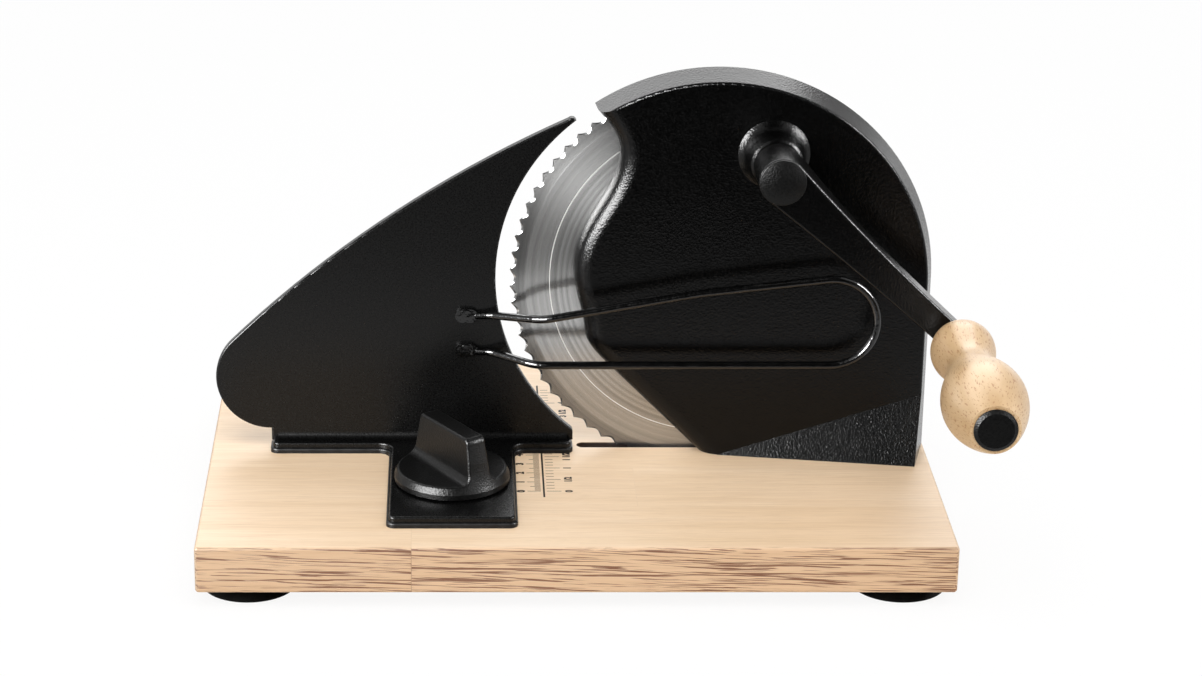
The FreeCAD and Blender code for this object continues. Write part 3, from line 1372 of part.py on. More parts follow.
PIECES = {
    "base_board": base_board,
    "suction_feet": suction_feet,
    "foot_washers": foot_washers,
    "foot_screws": foot_screws,
    "gear_housing": gear_housing,
    "housing_screws": housing_screws,
    "housing_washers": housing_washers,
    "axle_sleeve": axle_sleeve,
    "blade_gear": blade_gear,
    "blade": blade,
    "blade_screws": blade_screws,
    "blade_cap": blade_cap,
    "blade_cap_screw": blade_cap_screw,
    "crank_bushes": crank_bushes,
    "crank_shaft": crank_shaft,
    "crank_gear": crank_gear,
    "shaft_clip": shaft_clip,
    "crank_arm": crank_arm,
    "crank_washer": crank_washer,
    "crank_screw": crank_screw,
    "hub_cap": hub_cap,
    "handle_spindle": handle_spindle,
    "handle_washer": handle_washer,
    "handle_grip": handle_grip,
    "handle_plug": handle_plug,
    "fence_plate": fence_plate,
    "slide_pad": slide_pad,
    "wire_guard": wire_guard,
    "guard_rivets": guard_rivets,
    "clamp_knob": clamp_knob,
    "knob_insert": knob_insert,
    "knob_washer": knob_washer,
    "clamp_stud": clamp_stud,
    "stud_washer": stud_washer,
}

os.makedirs("parts", exist_ok=True)
for name, make in PIECES.items():
    shape = make()
    shape.translate(ORIGIN * -1.0)
    shape.exportStep("parts/" + name + ".step")
    print(name, len(shape.Solids), "solids", round(shape.Volume / 1000.0, 2), "cm3", shape.isValid())
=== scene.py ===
# %% [markdown]
# # A hand crank bread slicer, made ready for its picture
#
# The slicer comes from CAD as a set of exact pieces: a wooden board on rubber feet, a black
# gear housing with a round blade behind it, a crank with a turned wooden grip, a sliding fence
# with a wire guard, and a clamp knob. This file keeps those pieces where they are and gives
# them what CAD leaves out: finishes, the ground blade, the printed scale, a camera and light.
#
# It is laid out like a notebook. Each step first says what the real thing is like and which
# of Blender's ways suits it, then a few short cells of code make it and print what came out.

import json
import math

import bpy
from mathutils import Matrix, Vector

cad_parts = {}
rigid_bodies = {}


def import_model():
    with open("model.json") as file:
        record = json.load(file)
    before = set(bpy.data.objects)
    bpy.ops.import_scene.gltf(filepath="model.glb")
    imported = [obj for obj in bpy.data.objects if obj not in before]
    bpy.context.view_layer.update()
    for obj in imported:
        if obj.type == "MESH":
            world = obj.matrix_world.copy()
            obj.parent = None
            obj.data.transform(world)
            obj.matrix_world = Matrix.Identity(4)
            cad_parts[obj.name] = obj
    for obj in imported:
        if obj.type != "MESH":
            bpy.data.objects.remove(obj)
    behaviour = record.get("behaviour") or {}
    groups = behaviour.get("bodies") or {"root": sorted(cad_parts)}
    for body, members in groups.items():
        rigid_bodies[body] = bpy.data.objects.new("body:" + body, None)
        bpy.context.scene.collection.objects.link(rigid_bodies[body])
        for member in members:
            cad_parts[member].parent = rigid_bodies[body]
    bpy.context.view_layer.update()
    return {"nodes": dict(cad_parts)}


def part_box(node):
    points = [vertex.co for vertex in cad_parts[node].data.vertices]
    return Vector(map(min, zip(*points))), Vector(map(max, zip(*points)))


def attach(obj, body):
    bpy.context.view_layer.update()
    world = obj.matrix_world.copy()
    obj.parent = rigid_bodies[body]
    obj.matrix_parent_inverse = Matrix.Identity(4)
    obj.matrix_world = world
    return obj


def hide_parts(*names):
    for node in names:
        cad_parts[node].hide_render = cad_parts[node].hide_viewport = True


for leftover in list(bpy.data.objects):
    bpy.data.objects.remove(leftover)
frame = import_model()
nodes = frame["nodes"]


# %% [markdown]
# ## Places on the board
#
# Everything here is easiest to measure from the board's front left corner, on its top face:
# millimetres to the right, away from the user, and up. Blender wants metres in the frame's
# own coordinates, so one small helper turns the first into the second. It reads the corner
# from the board itself, so it stays right if the board moves.

# %% A helper that turns board millimetres into frame metres
board_low, board_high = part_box("base_board")
corner = Vector((board_low.x, board_low.y, board_high.z))


def on_board(x, y, z=0.0):
    return corner + Vector((x, y, z)) / 1000.0


blade_low, blade_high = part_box("blade")
blade_axis = (blade_low + blade_high) / 2.0
grip_low, grip_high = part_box("handle_grip")
grip_axis = (grip_low + grip_high) / 2.0
print("blade axis", [round(v, 4) for v in blade_axis])
print("grip axis", [round(v, 4) for v in grip_axis])

# %% [markdown]
# ## The camera
#
# A product shot like this is taken from well back with a long lens, looking down a little.
# The camera looks straight along the board's depth, so the board's front edge stays level.
# The slicer isn't in the middle of the lens' view but to its right, which a horizontal shift
# gives without turning the camera.

# %% A helper that puts data into the scene


def in_scene(name, data):
    made = bpy.data.objects.new(name, data)
    bpy.context.scene.collection.objects.link(made)
    return made


print("objects go into", bpy.context.scene.collection.name)

# %% Set up the camera
camera_spot = (108.0, -1189.0, 549.0)
look_down = 20.95
straight_down = 90.0
lens = bpy.data.cameras.new("camera")
lens.sensor_width = 36.0
lens.lens = 93.8
lens.shift_x = 0.1237
lens.clip_start = 0.05
lens.clip_end = 50.0
camera = in_scene("camera", lens)
camera.location = on_board(*camera_spot)
camera.rotation_euler = (math.radians(straight_down - look_down), 0.0, 0.0)
bpy.context.scene.camera = camera
print("camera at", [round(v, 3) for v in camera.location], "looking down", look_down, "degrees")

# %% [markdown]
# ## Building finishes from nodes
#
# A finish is a small network: some texture nodes describe where the surface is darker,
# rougher or raised, and one Principled shader turns that into light. A few helpers keep the
# networks short. `finish` makes a material and types its plain values straight into the
# shader. `grow` puts one more node in a tree: a value that is another node's output gets
# wired, and anything else is typed in. `add` is the same for the nodes of a finish.

# %% Make a finish and put nodes in it


def shader_of(mat):
    return mat.node_tree.nodes["Principled BSDF"]


def finish(name, colour, roughness, metallic=0.0, **more):
    mat = bpy.data.materials.new(name)
    mat.use_nodes = True
    plain = {"Base Color": (*colour, 1.0), "Roughness": roughness, "Metallic": metallic}
    plain.update({key.replace("_", " "): value for key, value in more.items()})
    for key, value in plain.items():
        shader_of(mat).inputs[key].default_value = value
    return mat


def feed(tree, socket, value):
    if isinstance(value, bpy.types.NodeSocket):
        tree.links.new(value, socket)
    else:
        socket.default_value = value


def grow(tree, kind, wires=None, **settings):
    made = tree.nodes.new(kind)
    for key, value in settings.items():
        setattr(made, key, value)
    for key, value in (wires or {}).items():
        feed(tree, made.inputs[key], value)
    return made


def add(owner, kind, wires=None, **settings):
    return grow(owner.node_tree, "ShaderNode" + kind, wires, **settings)


def wire(mat, output, key):
    mat.node_tree.links.new(output, shader_of(mat).inputs[key])


print("node helpers ready")

# %% Patterns that follow the piece
#
# `place` measures from a centre and stretches each axis: a larger number makes the pattern
# finer that way. `evenly` does it alike in all three.


def place(mat, scale, centre=(0.0, 0.0, 0.0)):
    coords = add(mat, "TexCoord").outputs["Object"]
    moved = add(mat, "VectorMath", {0: coords, 1: tuple(centre)}, operation="SUBTRACT")
    wires = {0: moved.outputs[0], 1: tuple(scale)}
    return add(mat, "VectorMath", wires, operation="MULTIPLY").outputs[0]


def evenly(mat, per_metre):
    return place(mat, (per_metre, per_metre, per_metre))


def noise(mat, where, detail=2.0, rough=0.5, **more):
    wires = {"Vector": where, "Scale": 1.0, "Detail": detail, "Roughness": rough, **more}
    dimensions = "4D" if "W" in more else "3D"
    return add(mat, "TexNoise", wires, noise_dimensions=dimensions).outputs["Fac"]


def maths(owner, operation, *values):
    return add(owner, "Math", dict(enumerate(values)), operation=operation).outputs[0]


print("pattern helpers ready")

# %% From a pattern to colour and roughness
MIX_AMOUNT, MIX_FIRST, MIX_SECOND, MIX_COLOUR = 0, 6, 7, 2


def ramp(mat, value, *stops):
    made = add(mat, "ValToRGB", {"Fac": value})
    points = made.color_ramp.elements
    while len(points) < len(stops):
        points.new(0.5)
    for point, (position, colour) in zip(points, stops):
        point.position = position
        point.color = (*colour, 1.0)
    return made.outputs["Color"]


def level(mat, value, low, high, to_low=0.0, to_high=1.0):
    wires = {"Value": value, "From Min": low, "From Max": high}
    wires.update({"To Min": to_low, "To Max": to_high})
    return add(mat, "MapRange", wires).outputs["Result"]


def mix(mat, amount, first, second, blend="MIX"):
    made = add(mat, "Mix", {MIX_AMOUNT: amount}, data_type="RGBA", blend_type=blend)
    for index, colour in ((MIX_FIRST, first), (MIX_SECOND, second)):
        typed = isinstance(colour, tuple)
        feed(mat.node_tree, made.inputs[index], (*colour, 1.0) if typed else colour)
    return made.outputs[MIX_COLOUR]


print("colour helpers ready")

# %% Bump, and dressing a piece
#
# `vary` lets one pattern move colour, roughness and height together, as wear, dust and
# texture do on a real surface. `tones` and `roughs` are what its low and high places get.
usual_stops = (0.3, 0.7)


def grey(value):
    return (value, value, value)


def bump(mat, height, depth, strength):
    made = add(mat, "Bump", {"Height": height, "Distance": depth, "Strength": strength})
    wire(mat, made.outputs["Normal"], "Normal")


def vary(mat, pattern, tones, roughs, depth, strength, tone_stops=usual_stops, stops=usual_stops):
    wire(mat, ramp(mat, pattern, *zip(tone_stops, tones)), "Base Color")
    wire(mat, level(mat, pattern, *stops, *roughs), "Roughness")
    bump(mat, pattern, depth, strength)


def dress(mat, *names):
    for name in names:
        nodes[name].data.materials.clear()
        nodes[name].data.materials.append(mat)
    print(mat.name, "on", ", ".join(names))


print("finish helpers ready")

# %% [markdown]
# ## The wooden board
#
# The board is glued up from pale staves with their grain running from left to right. On the
# top the grain is fine and quiet. The front edge cuts the same wood where its pores are long
# and dark, and shows one butt joint where two staves meet end to end. The two ends are cut
# across the grain: they are darker, and show the year rings as bands.
#
# Wood is a solid, so its pattern has to run through the piece and be cut by each face. That
# is why everything is driven by Object coordinates and not painted on. A brick pattern seen
# from above gives the staves, and its grey value shifts the noise of each stave so that no
# two look alike. Noise squeezed along the grain gives the bands, and finer ones, cut off
# sharply, give short and long pores. The face's own direction decides how strongly the pores
# show, and which faces get the year rings.

# %% Staves and their joints
stave_len, stave_wide, stagger = 0.262, 0.0431, 0.37
front_joint = 90.8
joint_gap, joint_soft = 0.00016, 0.3
shift_apart = 9.0
board_wood = finish("board_wood", (0.81, 0.605, 0.405), 0.45, Specular_IOR_Level=0.4)
first_joint = on_board(front_joint, -1.0)
joint_centre = (first_joint.x + stagger * stave_len, first_joint.y, 0.0)
staves = add(
    board_wood,
    "TexBrick",
    {
        "Vector": place(board_wood, (1.0, 1.0, 0.0), centre=joint_centre),
        "Color1": (0.0, 0.0, 0.0, 1.0),
        "Color2": (1.0, 1.0, 1.0, 1.0),
        "Mortar": (0.5, 0.5, 0.5, 1.0),
        "Scale": 1.0,
        "Mortar Size": joint_gap,
        "Mortar Smooth": joint_soft,
        "Brick Width": stave_len,
        "Row Height": stave_wide,
    },
    offset=stagger,
)


def on_wood(operation, *values):
    return maths(board_wood, operation, *values)


def wood_noise(stretch, detail, rough):
    return noise(board_wood, place(board_wood, stretch), detail, rough, W=stave_shift)


stave_shift = on_wood("MULTIPLY", staves.outputs["Color"], shift_apart)
print("staves", stave_len * 1000, "mm long, front joint", front_joint, "mm from the left")

# %% Grain bands
band_share, mottle_share = 0.65, 0.35
grain_tones = (
    (0.34, (0.76, 0.550, 0.350)),
    (0.50, (0.81, 0.605, 0.405)),
    (0.68, (0.85, 0.655, 0.460)),
)
bands = wood_noise((6.0, 170.0, 170.0), 4.0, 0.6)
mottle = wood_noise((9.0, 26.0, 26.0), 2.0, 0.5)
fine = wood_noise((45.0, 1500.0, 1500.0), 3.0, 0.6)
weighed = (on_wood("MULTIPLY", bands, band_share), on_wood("MULTIPLY", mottle, mottle_share))
pale = ramp(board_wood, on_wood("ADD", *weighed), *grain_tones)
top_lines = level(board_wood, fine, 0.48, 0.68, 0.0, 0.35)
lined = mix(board_wood, top_lines, pale, (0.64, 0.43, 0.26))
print("grain bands in", len(grain_tones), "tones")

# %% Pores, swayed and slanted a little as growth leaves them
pore_stretch = (34.0, 1900.0, 1900.0)
sway_by, slant_by = 9.0, 70.0


def plus(first, second):
    return add(board_wood, "VectorMath", {0: first, 1: second}, operation="ADD").outputs[0]


def upwards(amount):
    return add(board_wood, "CombineXYZ", {"Z": amount}).outputs[0]


def parts_of(output):
    coords = add(board_wood, "TexCoord").outputs[output]
    return add(board_wood, "SeparateXYZ", {"Vector": coords}).outputs


sway = noise(board_wood, place(board_wood, (9.0, 30.0, 30.0)), 2.0, 0.5)
lift = upwards(on_wood("MULTIPLY", sway, sway_by))
slope = upwards(on_wood("MULTIPLY", parts_of("Object")["X"], slant_by))
swayed = plus(place(board_wood, pore_stretch), plus(lift, slope))
thin_pores = noise(board_wood, swayed, 2.0, 0.55, W=stave_shift)
long_pores = wood_noise((15.0, 900.0, 900.0), 3.0, 0.6)
dense = on_wood("MULTIPLY", staves.outputs["Color"], 0.05)
thin_cut = level(board_wood, on_wood("SUBTRACT", thin_pores, dense), 0.532, 0.558)
long_cut = level(board_wood, on_wood("SUBTRACT", long_pores, dense), 0.560, 0.600, 0.0, 0.95)
print("pores stretched", round(pore_stretch[1] / pore_stretch[0]), "times along the grain")

# %% Front, ends and top each show the wood their own way
turned_away, turned_to = 0.3, 0.9
end_share, top_share, front_share = 0.45, 0.07, 0.95
ring_tones = (
    (0.35, (0.56, 0.37, 0.22)),
    (0.5, (0.66, 0.46, 0.29)),
    (0.62, (0.72, 0.52, 0.34)),
)
face_way = parts_of("Normal")
on_front = level(board_wood, on_wood("ABSOLUTE", face_way["Y"]), turned_away, turned_to)
on_end = level(board_wood, on_wood("ABSOLUTE", face_way["X"]), turned_away, turned_to)
warmer = mix(board_wood, 1.0, lined, (0.82, 0.72, 0.63), "MULTIPLY")
sides = mix(board_wood, on_front, lined, warmer)
ringed = ramp(board_wood, wood_noise((2.0, 60.0, 420.0), 3.0, 0.5), *ring_tones)
bare_wood = mix(board_wood, on_end, sides, ringed)
side_on = on_wood("MAXIMUM", on_front, on_wood("MULTIPLY", on_end, end_share))
pore_share = level(board_wood, side_on, 0.0, 1.0, top_share, front_share)
pores = on_wood("MULTIPLY", on_wood("MAXIMUM", thin_cut, long_cut), pore_share)
porous = mix(board_wood, pores, bare_wood, (0.18, 0.062, 0.020))
joint_share = level(board_wood, on_front, 0.0, 1.0, 0.10, 0.7)
joints = on_wood("MULTIPLY", staves.outputs["Fac"], joint_share)
jointed = mix(board_wood, joints, porous, (0.30, 0.16, 0.08))
print("the top shows its pores at", round(top_share / front_share, 2), "of the front's strength")

# %% The sawn slot: painted shade inside it
slot_low, slot_high = on_board(160.0, 100.0, -14.6), on_board(286.0, 122.0, -0.45)
slot_lip = 0.0004
spot = parts_of("Object")
painted_slot_shade = level(board_wood, spot["Z"], slot_high.z + slot_lip, slot_high.z)
for axis, low, high in (("X", slot_low.x, slot_high.x), ("Y", slot_low.y, slot_high.y)):
    inside = on_wood("COMPARE", spot[axis], (low + high) / 2.0, (high - low) / 2.0)
    painted_slot_shade = on_wood("MULTIPLY", painted_slot_shade, inside)
painted_slot_shade = on_wood("MULTIPLY", painted_slot_shade, on_wood("GREATER_THAN", spot["Z"], slot_low.z))
# Painted shade: the slot's walls and floor are coloured near black for the deep shadow in it.
wire(board_wood, mix(board_wood, painted_slot_shade, jointed, (0.040, 0.020, 0.010)), "Base Color")
wire(board_wood, level(board_wood, fine, *usual_stops, 0.40, 0.54), "Roughness")
sunken = on_wood("SUBTRACT", fine, on_wood("MULTIPLY", pores, 1.5))
bump(board_wood, sunken, 0.00005, 0.5)
dress(board_wood, "base_board")

# %% [markdown]
# ## The turned grip
#
# The grip is turned from the same kind of wood, but its grain runs along its own axis, away
# from the user. Turning cuts across the rings, and the pores show as short orange dashes.
# Its pattern is measured from the grip's axis and turns with the grip, because the piece's
# own Object coordinates move with it.

# %% Wood for the grip
grip_tones = (
    (0.32, (0.53, 0.340, 0.168)),
    (0.52, (0.60, 0.405, 0.215)),
    (0.74, (0.66, 0.460, 0.262)),
)
grip_wood = finish("grip_wood", (0.60, 0.405, 0.215), 0.36, Specular_IOR_Level=0.5)
rings = noise(grip_wood, place(grip_wood, (120.0, 9.0, 120.0), centre=grip_axis), 4.0, 0.55)
turned_pale = ramp(grip_wood, rings, *grip_tones)
dashes = noise(grip_wood, place(grip_wood, (1500.0, 260.0, 1500.0), centre=grip_axis))
flecks = level(grip_wood, dashes, 0.585, 0.645, 0.0, 0.8)
wire(grip_wood, mix(grip_wood, flecks, turned_pale, (0.36, 0.16, 0.055)), "Base Color")
wire(grip_wood, level(grip_wood, rings, *usual_stops, 0.28, 0.42), "Roughness")
bump(grip_wood, maths(grip_wood, "SUBTRACT", rings, flecks), 0.00005, 0.4)
dress(grip_wood, "handle_grip")

# %% [markdown]
# ## Black castings
#
# The gear housing and the crank arm are cast metal with a black powder coat. Powder flows
# and sets in small soft pebbles, here about three quarters of a millimetre across, which
# break a highlight into glitter. A fine noise on the bump does that. The same noise also
# moves the roughness a little, because the tops of the pebbles are smoother than the dips
# between them. A broad second noise shifts the black itself, so that large flat faces don't
# look like a computer's.

# %% Powder coat
pebbles_per_metre, broad_per_metre = 1280.0, 60.0
powder_coat = finish("powder_coat", grey(0.0007), 0.22, Specular_IOR_Level=0.2)
pebbles = noise(powder_coat, evenly(powder_coat, pebbles_per_metre), 1.0)
broad = noise(powder_coat, evenly(powder_coat, broad_per_metre))
wire(powder_coat, ramp(powder_coat, broad, (0.3, grey(0.0005)), (0.7, grey(0.0009))), "Base Color")
wire(powder_coat, level(powder_coat, pebbles, *usual_stops, 0.26, 0.17), "Roughness")
bump(powder_coat, pebbles, 0.00028, 0.56)
dress(powder_coat, "gear_housing", "crank_arm")
print("pebbles are about", round(1000.0 / pebbles_per_metre, 2), "mm across")

# %% [markdown]
# ## Smooth black plate and glossy wire
#
# The fence is a plate with a finer, flatter coat: its face is almost a soft mirror. The wire
# guard has a thick gloss black coat with long shallow ripples in it, as a dipped coat has,
# so it carries thin sharp highlights that waver along the wire.

# %% Satin plate and gloss wire
satin_black = finish("satin_black", grey(0.0012), 0.28, Specular_IOR_Level=0.24)
satin_grain = noise(satin_black, evenly(satin_black, 1300.0))
satin_tones = (grey(0.0009), (0.0016, 0.0016, 0.0015))
vary(satin_black, satin_grain, satin_tones, (0.25, 0.32), 0.0001, 0.25)
dress(satin_black, "fence_plate")

gloss_black = finish("gloss_black", grey(0.0015), 0.13, Specular_IOR_Level=0.5)
ripple = noise(gloss_black, evenly(gloss_black, 340.0))
vary(gloss_black, ripple, (grey(0.0012), grey(0.0024)), (0.10, 0.17), 0.0004, 0.6)
dress(gloss_black, "wire_guard", "guard_rivets")

# %% [markdown]
# ## Moulded plastic and rubber
#
# The clamp knob, the hub cap and the grip's plug are moulded in a spark-eroded tool, which
# leaves an even grain of tiny pits. A Voronoi texture's distance to the nearest cell centre
# is that shape. The pad under the fence is a plainer plastic with only a cloudy haze, and
# the feet are soft rubber with a dull bloom.

# %% Grained plastic
grained_plastic = finish("grained_plastic", grey(0.0020), 0.32, Specular_IOR_Level=0.17)
cells = {"Vector": evenly(grained_plastic, 1250.0), "Scale": 1.0}
grain = add(grained_plastic, "TexVoronoi", cells).outputs["Distance"]
grain_tones_black = (grey(0.0013), (0.0028, 0.0028, 0.0027))
grain_stops = (0.1, 0.8)
vary(
    grained_plastic,
    grain,
    grain_tones_black,
    (0.27, 0.38),
    0.00016,
    0.45,
    tone_stops=grain_stops,
    stops=grain_stops,
)
dress(grained_plastic, "clamp_knob", "hub_cap", "handle_plug")

# %% Plain plastic and rubber
plain_plastic = finish("plain_plastic", grey(0.002), 0.36, Specular_IOR_Level=0.25)
haze = noise(plain_plastic, evenly(plain_plastic, 300.0), 3.0)
vary(plain_plastic, haze, (grey(0.0014), grey(0.0028)), (0.34, 0.46), 0.00006, 0.3)
dress(plain_plastic, "slide_pad", "handle_washer")

foot_rubber = finish("foot_rubber", grey(0.0012), 0.5, Specular_IOR_Level=0.04)
bloom = noise(foot_rubber, evenly(foot_rubber, 220.0), 4.0, 0.6)
bloom_tones = (grey(0.0008), (0.0017, 0.0017, 0.0016))
vary(foot_rubber, bloom, bloom_tones, (0.48, 0.62), 0.00008, 0.3, tone_stops=(0.3, 0.75))
dress(foot_rubber, "suction_feet")

# %% [markdown]
# ## Bright metal, brass and the plastic gear
#
# Screws, washers and shafts are zinc plated or turned steel: one bright metal with slightly
# clouded plating. The knob's insert is brass, the shaft's bushes are sintered bronze, and
# the large gear is pale acetal plastic.

# %% Metals inside and underneath


def clouded_metal(name, dark, light, smooth, dull, per_metre):
    mat = finish(name, light, dull, 1.0)
    cloud = noise(mat, evenly(mat, per_metre), 4.0, 0.6)
    vary(mat, cloud, (dark, light), (smooth, dull), 0.00003, 0.3)
    return mat


zinc_steel = clouded_metal("zinc_steel", grey(0.50), grey(0.66), 0.26, 0.4, 500.0)
dress(
    zinc_steel,
    "foot_screws",
    "foot_washers",
    "housing_screws",
    "housing_washers",
    "axle_sleeve",
    "blade_screws",
    "blade_cap",
    "blade_cap_screw",
    "crank_shaft",
    "crank_gear",
    "shaft_clip",
    "crank_washer",
    "crank_screw",
    "handle_spindle",
    "knob_washer",
    "clamp_stud",
    "stud_washer",
)
brass = clouded_metal("brass", (0.60, 0.42, 0.17), (0.78, 0.60, 0.28), 0.24, 0.38, 400.0)
dress(brass, "knob_insert")
bronze = clouded_metal("bronze", (0.38, 0.22, 0.10), (0.60, 0.38, 0.19), 0.36, 0.55, 1600.0)
dress(bronze, "crank_bushes")

# %% The plastic gear
acetal = finish("acetal", (0.80, 0.79, 0.75), 0.38, Specular_IOR_Level=0.5)
milky = noise(acetal, evenly(acetal, 150.0), 3.0)
milky_tones = ((0.3, (0.76, 0.75, 0.70)), (0.7, (0.84, 0.83, 0.79)))
wire(acetal, ramp(acetal, milky, *milky_tones), "Base Color")
bump(acetal, milky, 0.00004, 0.2)
dress(acetal, "blade_gear")

# %% [markdown]
# ## The blade's steel
#
# The blade is rolled sheet, brushed while it spins, so its scratches are rings about its
# axis. Such a surface spreads light across the rings, which gives the bright fans that run
# out from the middle. Blender's anisotropic shader does that when its tangent points
# straight out from the axis at every place.
#
# The rings come from noises that read only the distance from the axis: wide rings change the
# metal's tone, and fine ones its roughness and its bump. Two more things depend on that
# distance. One thin groove is turned into the face near the edge, and its bright line is a
# painted highlight: a near-white, hardly metallic colour that looks white from every side.
# Outside it, over the zone that is ground for the teeth, the steel's colour is darkened
# towards the rim as painted shade for the dark band and outline that the bevel and teeth show.

# %% Distance and direction from the blade's axis
steel_grey = (0.43, 0.43, 0.425)
blade_steel = finish("blade_steel", steel_grey, 0.20, 0.8, Anisotropic=0.9)
flat = place(blade_steel, (1.0, 0.0, 1.0), centre=blade_axis)
outwards = add(blade_steel, "VectorMath", {0: flat}, operation="NORMALIZE").outputs[0]
spread = add(
    blade_steel,
    "VectorTransform",
    {0: outwards},
    vector_type="VECTOR",
    convert_from="OBJECT",
    convert_to="WORLD",
)
wire(blade_steel, spread.outputs[0], "Tangent")
radius = add(blade_steel, "VectorMath", {0: flat}, operation="LENGTH").outputs["Value"]
print("blade steel: rings about", [round(v * 1000, 1) for v in blade_axis])

# %% Rings, the groove's painted highlight and the painted shade at the ground edge
fine_per_metre, wide_per_metre = 2600.0, 420.0
groove_highlight_start, groove_highlight_end, groove_highlight_soft = 0.07215, 0.0726, 0.0001
edge_start, edge_full, edge_shade_amount = 0.0815, 0.0850, 0.55
ring_steel = (
    (0.36, (0.32, 0.32, 0.315)),
    (0.5, steel_grey),
    (0.64, (0.53, 0.53, 0.525)),
)


def ring_noise(per_metre, detail, rough):
    rings_at = {"X": maths(blade_steel, "MULTIPLY", radius, per_metre)}
    where = add(blade_steel, "CombineXYZ", rings_at).outputs[0]
    return noise(blade_steel, where, detail, rough)


scratches = ring_noise(fine_per_metre, 5.0, 0.7)
tone = ramp(blade_steel, ring_noise(wide_per_metre, 4.0, 0.65), *ring_steel)
# Painted highlight: the groove's thin ring gets a near-white colour with little metal, so it shows
# white from every side.
line_in = level(blade_steel, radius, groove_highlight_start, groove_highlight_start + groove_highlight_soft)
line_out = level(blade_steel, radius, groove_highlight_end - groove_highlight_soft, groove_highlight_end, 1.0, 0.0)
groove_highlight = maths(blade_steel, "MULTIPLY", line_in, line_out)
# Painted shade: the steel's colour is darkened towards the rim, over the ground bevel and the
# teeth.
painted_edge_shade = level(blade_steel, radius, edge_start, edge_full, 0.0, edge_shade_amount)
edge_shaded_tone = mix(blade_steel, painted_edge_shade, tone, grey(0.10))
wire(blade_steel, mix(blade_steel, groove_highlight, edge_shaded_tone, (0.95, 0.95, 0.93)), "Base Color")
wire(blade_steel, level(blade_steel, groove_highlight, 0.0, 1.0, 0.8, 0.1), "Metallic")
wire(blade_steel, level(blade_steel, scratches, *usual_stops, 0.17, 0.23), "Roughness")
bump(blade_steel, scratches, 0.00002, 0.35)
print("groove_highlight", groove_highlight_start * 1000, "to", groove_highlight_end * 1000, "mm from the axis")

# %% [markdown]
# ## Growing the blade from a rule
#
# The blade is a good case for Geometry Nodes: one short cross-section goes round the axis,
# and its rim follows a rule, with every tooth a shallow scoop between two points. The tree
# starts as a flat grid. Each row of the grid is one corner of the cross-section and each
# column is a place round the rim. Two index switches give every row its radius and its
# depth, the rim's rows are pulled in by the scoop, and a little trigonometry bends the grid
# into a disc. A long bevel thins the front towards the rim, and a small steeper nick is
# ground at each tooth.
#
# Three tapered holes are then cut for the screws' heads. Each cutter is a cone that starts
# and ends clear of both faces, because one whose end lies in a face leaves the cut
# undecided, and the exact solver keeps the mesh closed. The flat faces stay shaded flat, so
# that the holes leave no streaks on them, and only the rest is smooth.
#
# The sizes are the tree's inputs, so the same tree makes any blade of this kind.

# %% Helpers for Geometry Nodes trees


def new_tree(name, sizes):
    tree = bpy.data.node_groups.new(name, "GeometryNodeTree")
    sockets = tree.interface
    sockets.new_socket("Geometry", in_out="INPUT", socket_type="NodeSocketGeometry")
    for label, value in sizes.items():
        kind = "NodeSocketInt" if isinstance(value, int) else "NodeSocketFloat"
        sockets.new_socket(label, in_out="INPUT", socket_type=kind).default_value = value
    sockets.new_socket("Geometry", in_out="OUTPUT", socket_type="NodeSocketGeometry")
    given = tree.nodes.new("NodeGroupInput")
    return tree, {s.name: s for s in given.outputs}, tree.nodes.new("NodeGroupOutput")


def sums(tree, operation, *values):
    wires = dict(enumerate(values))
    return grow(tree, "ShaderNodeMath", wires, operation=operation).outputs[0]


def end_tree(tree, geometry, mat, result):
    real = grow(tree, "GeometryNodeRealizeInstances", {"Geometry": geometry}).outputs[0]
    wires = {"Geometry": real, "Material": mat}
    feed(tree, result.inputs[0], grow(tree, "GeometryNodeSetMaterial", wires).outputs[0])
    print(tree.name, "tree has", len(tree.nodes), "nodes")


print("tree helpers ready")

# %% Helpers that turn a tree or a text into a plain mesh


def plain_mesh(maker):
    shaped = maker.evaluated_get(bpy.context.evaluated_depsgraph_get())
    mesh = bpy.data.meshes.new_from_object(shaped)
    bpy.data.objects.remove(maker)
    return mesh


def bake(name, tree, sizes, mat, body):
    seed = in_scene(name + "_seed", bpy.data.meshes.new(name + "_seed"))
    modifier = seed.modifiers.new("grow", "NODES")
    modifier.node_group = tree
    for item in tree.interface.items_tree:
        if item.in_out == "INPUT" and item.name in sizes:
            modifier[item.identifier] = sizes[item.name]
    mesh = plain_mesh(seed)
    mesh.materials.clear()
    mesh.materials.append(mat)
    piece = in_scene(name, mesh)
    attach(piece, body)
    print(name, "baked with", len(mesh.vertices), "points and", len(mesh.polygons), "faces")
    return piece


print("baking helpers ready")

# %% The blade's tree: a grid, and each point's tooth
blade_sizes = {
    "Teeth": 72,
    "Steps": 12,
    "Radius": 0.0900,
    "Tooth Depth": 0.0020,
    "Bevel": 0.0050,
    "Bevel Depth": 0.0006,
    "Nick": 0.0010,
    "Nick Depth": 0.0004,
    "Thickness": 0.0012,
    "Bore": 0.01505,
    "Screw Ring": 0.0250,
    "Screw Hole": 0.0039,
    "Screw Neck": 0.0022,
}
grid_rows = 7
blade_tree, size, blade_result = new_tree("ground_blade", blade_sizes)


def on_blade(operation, *values):
    return sums(blade_tree, operation, *values)


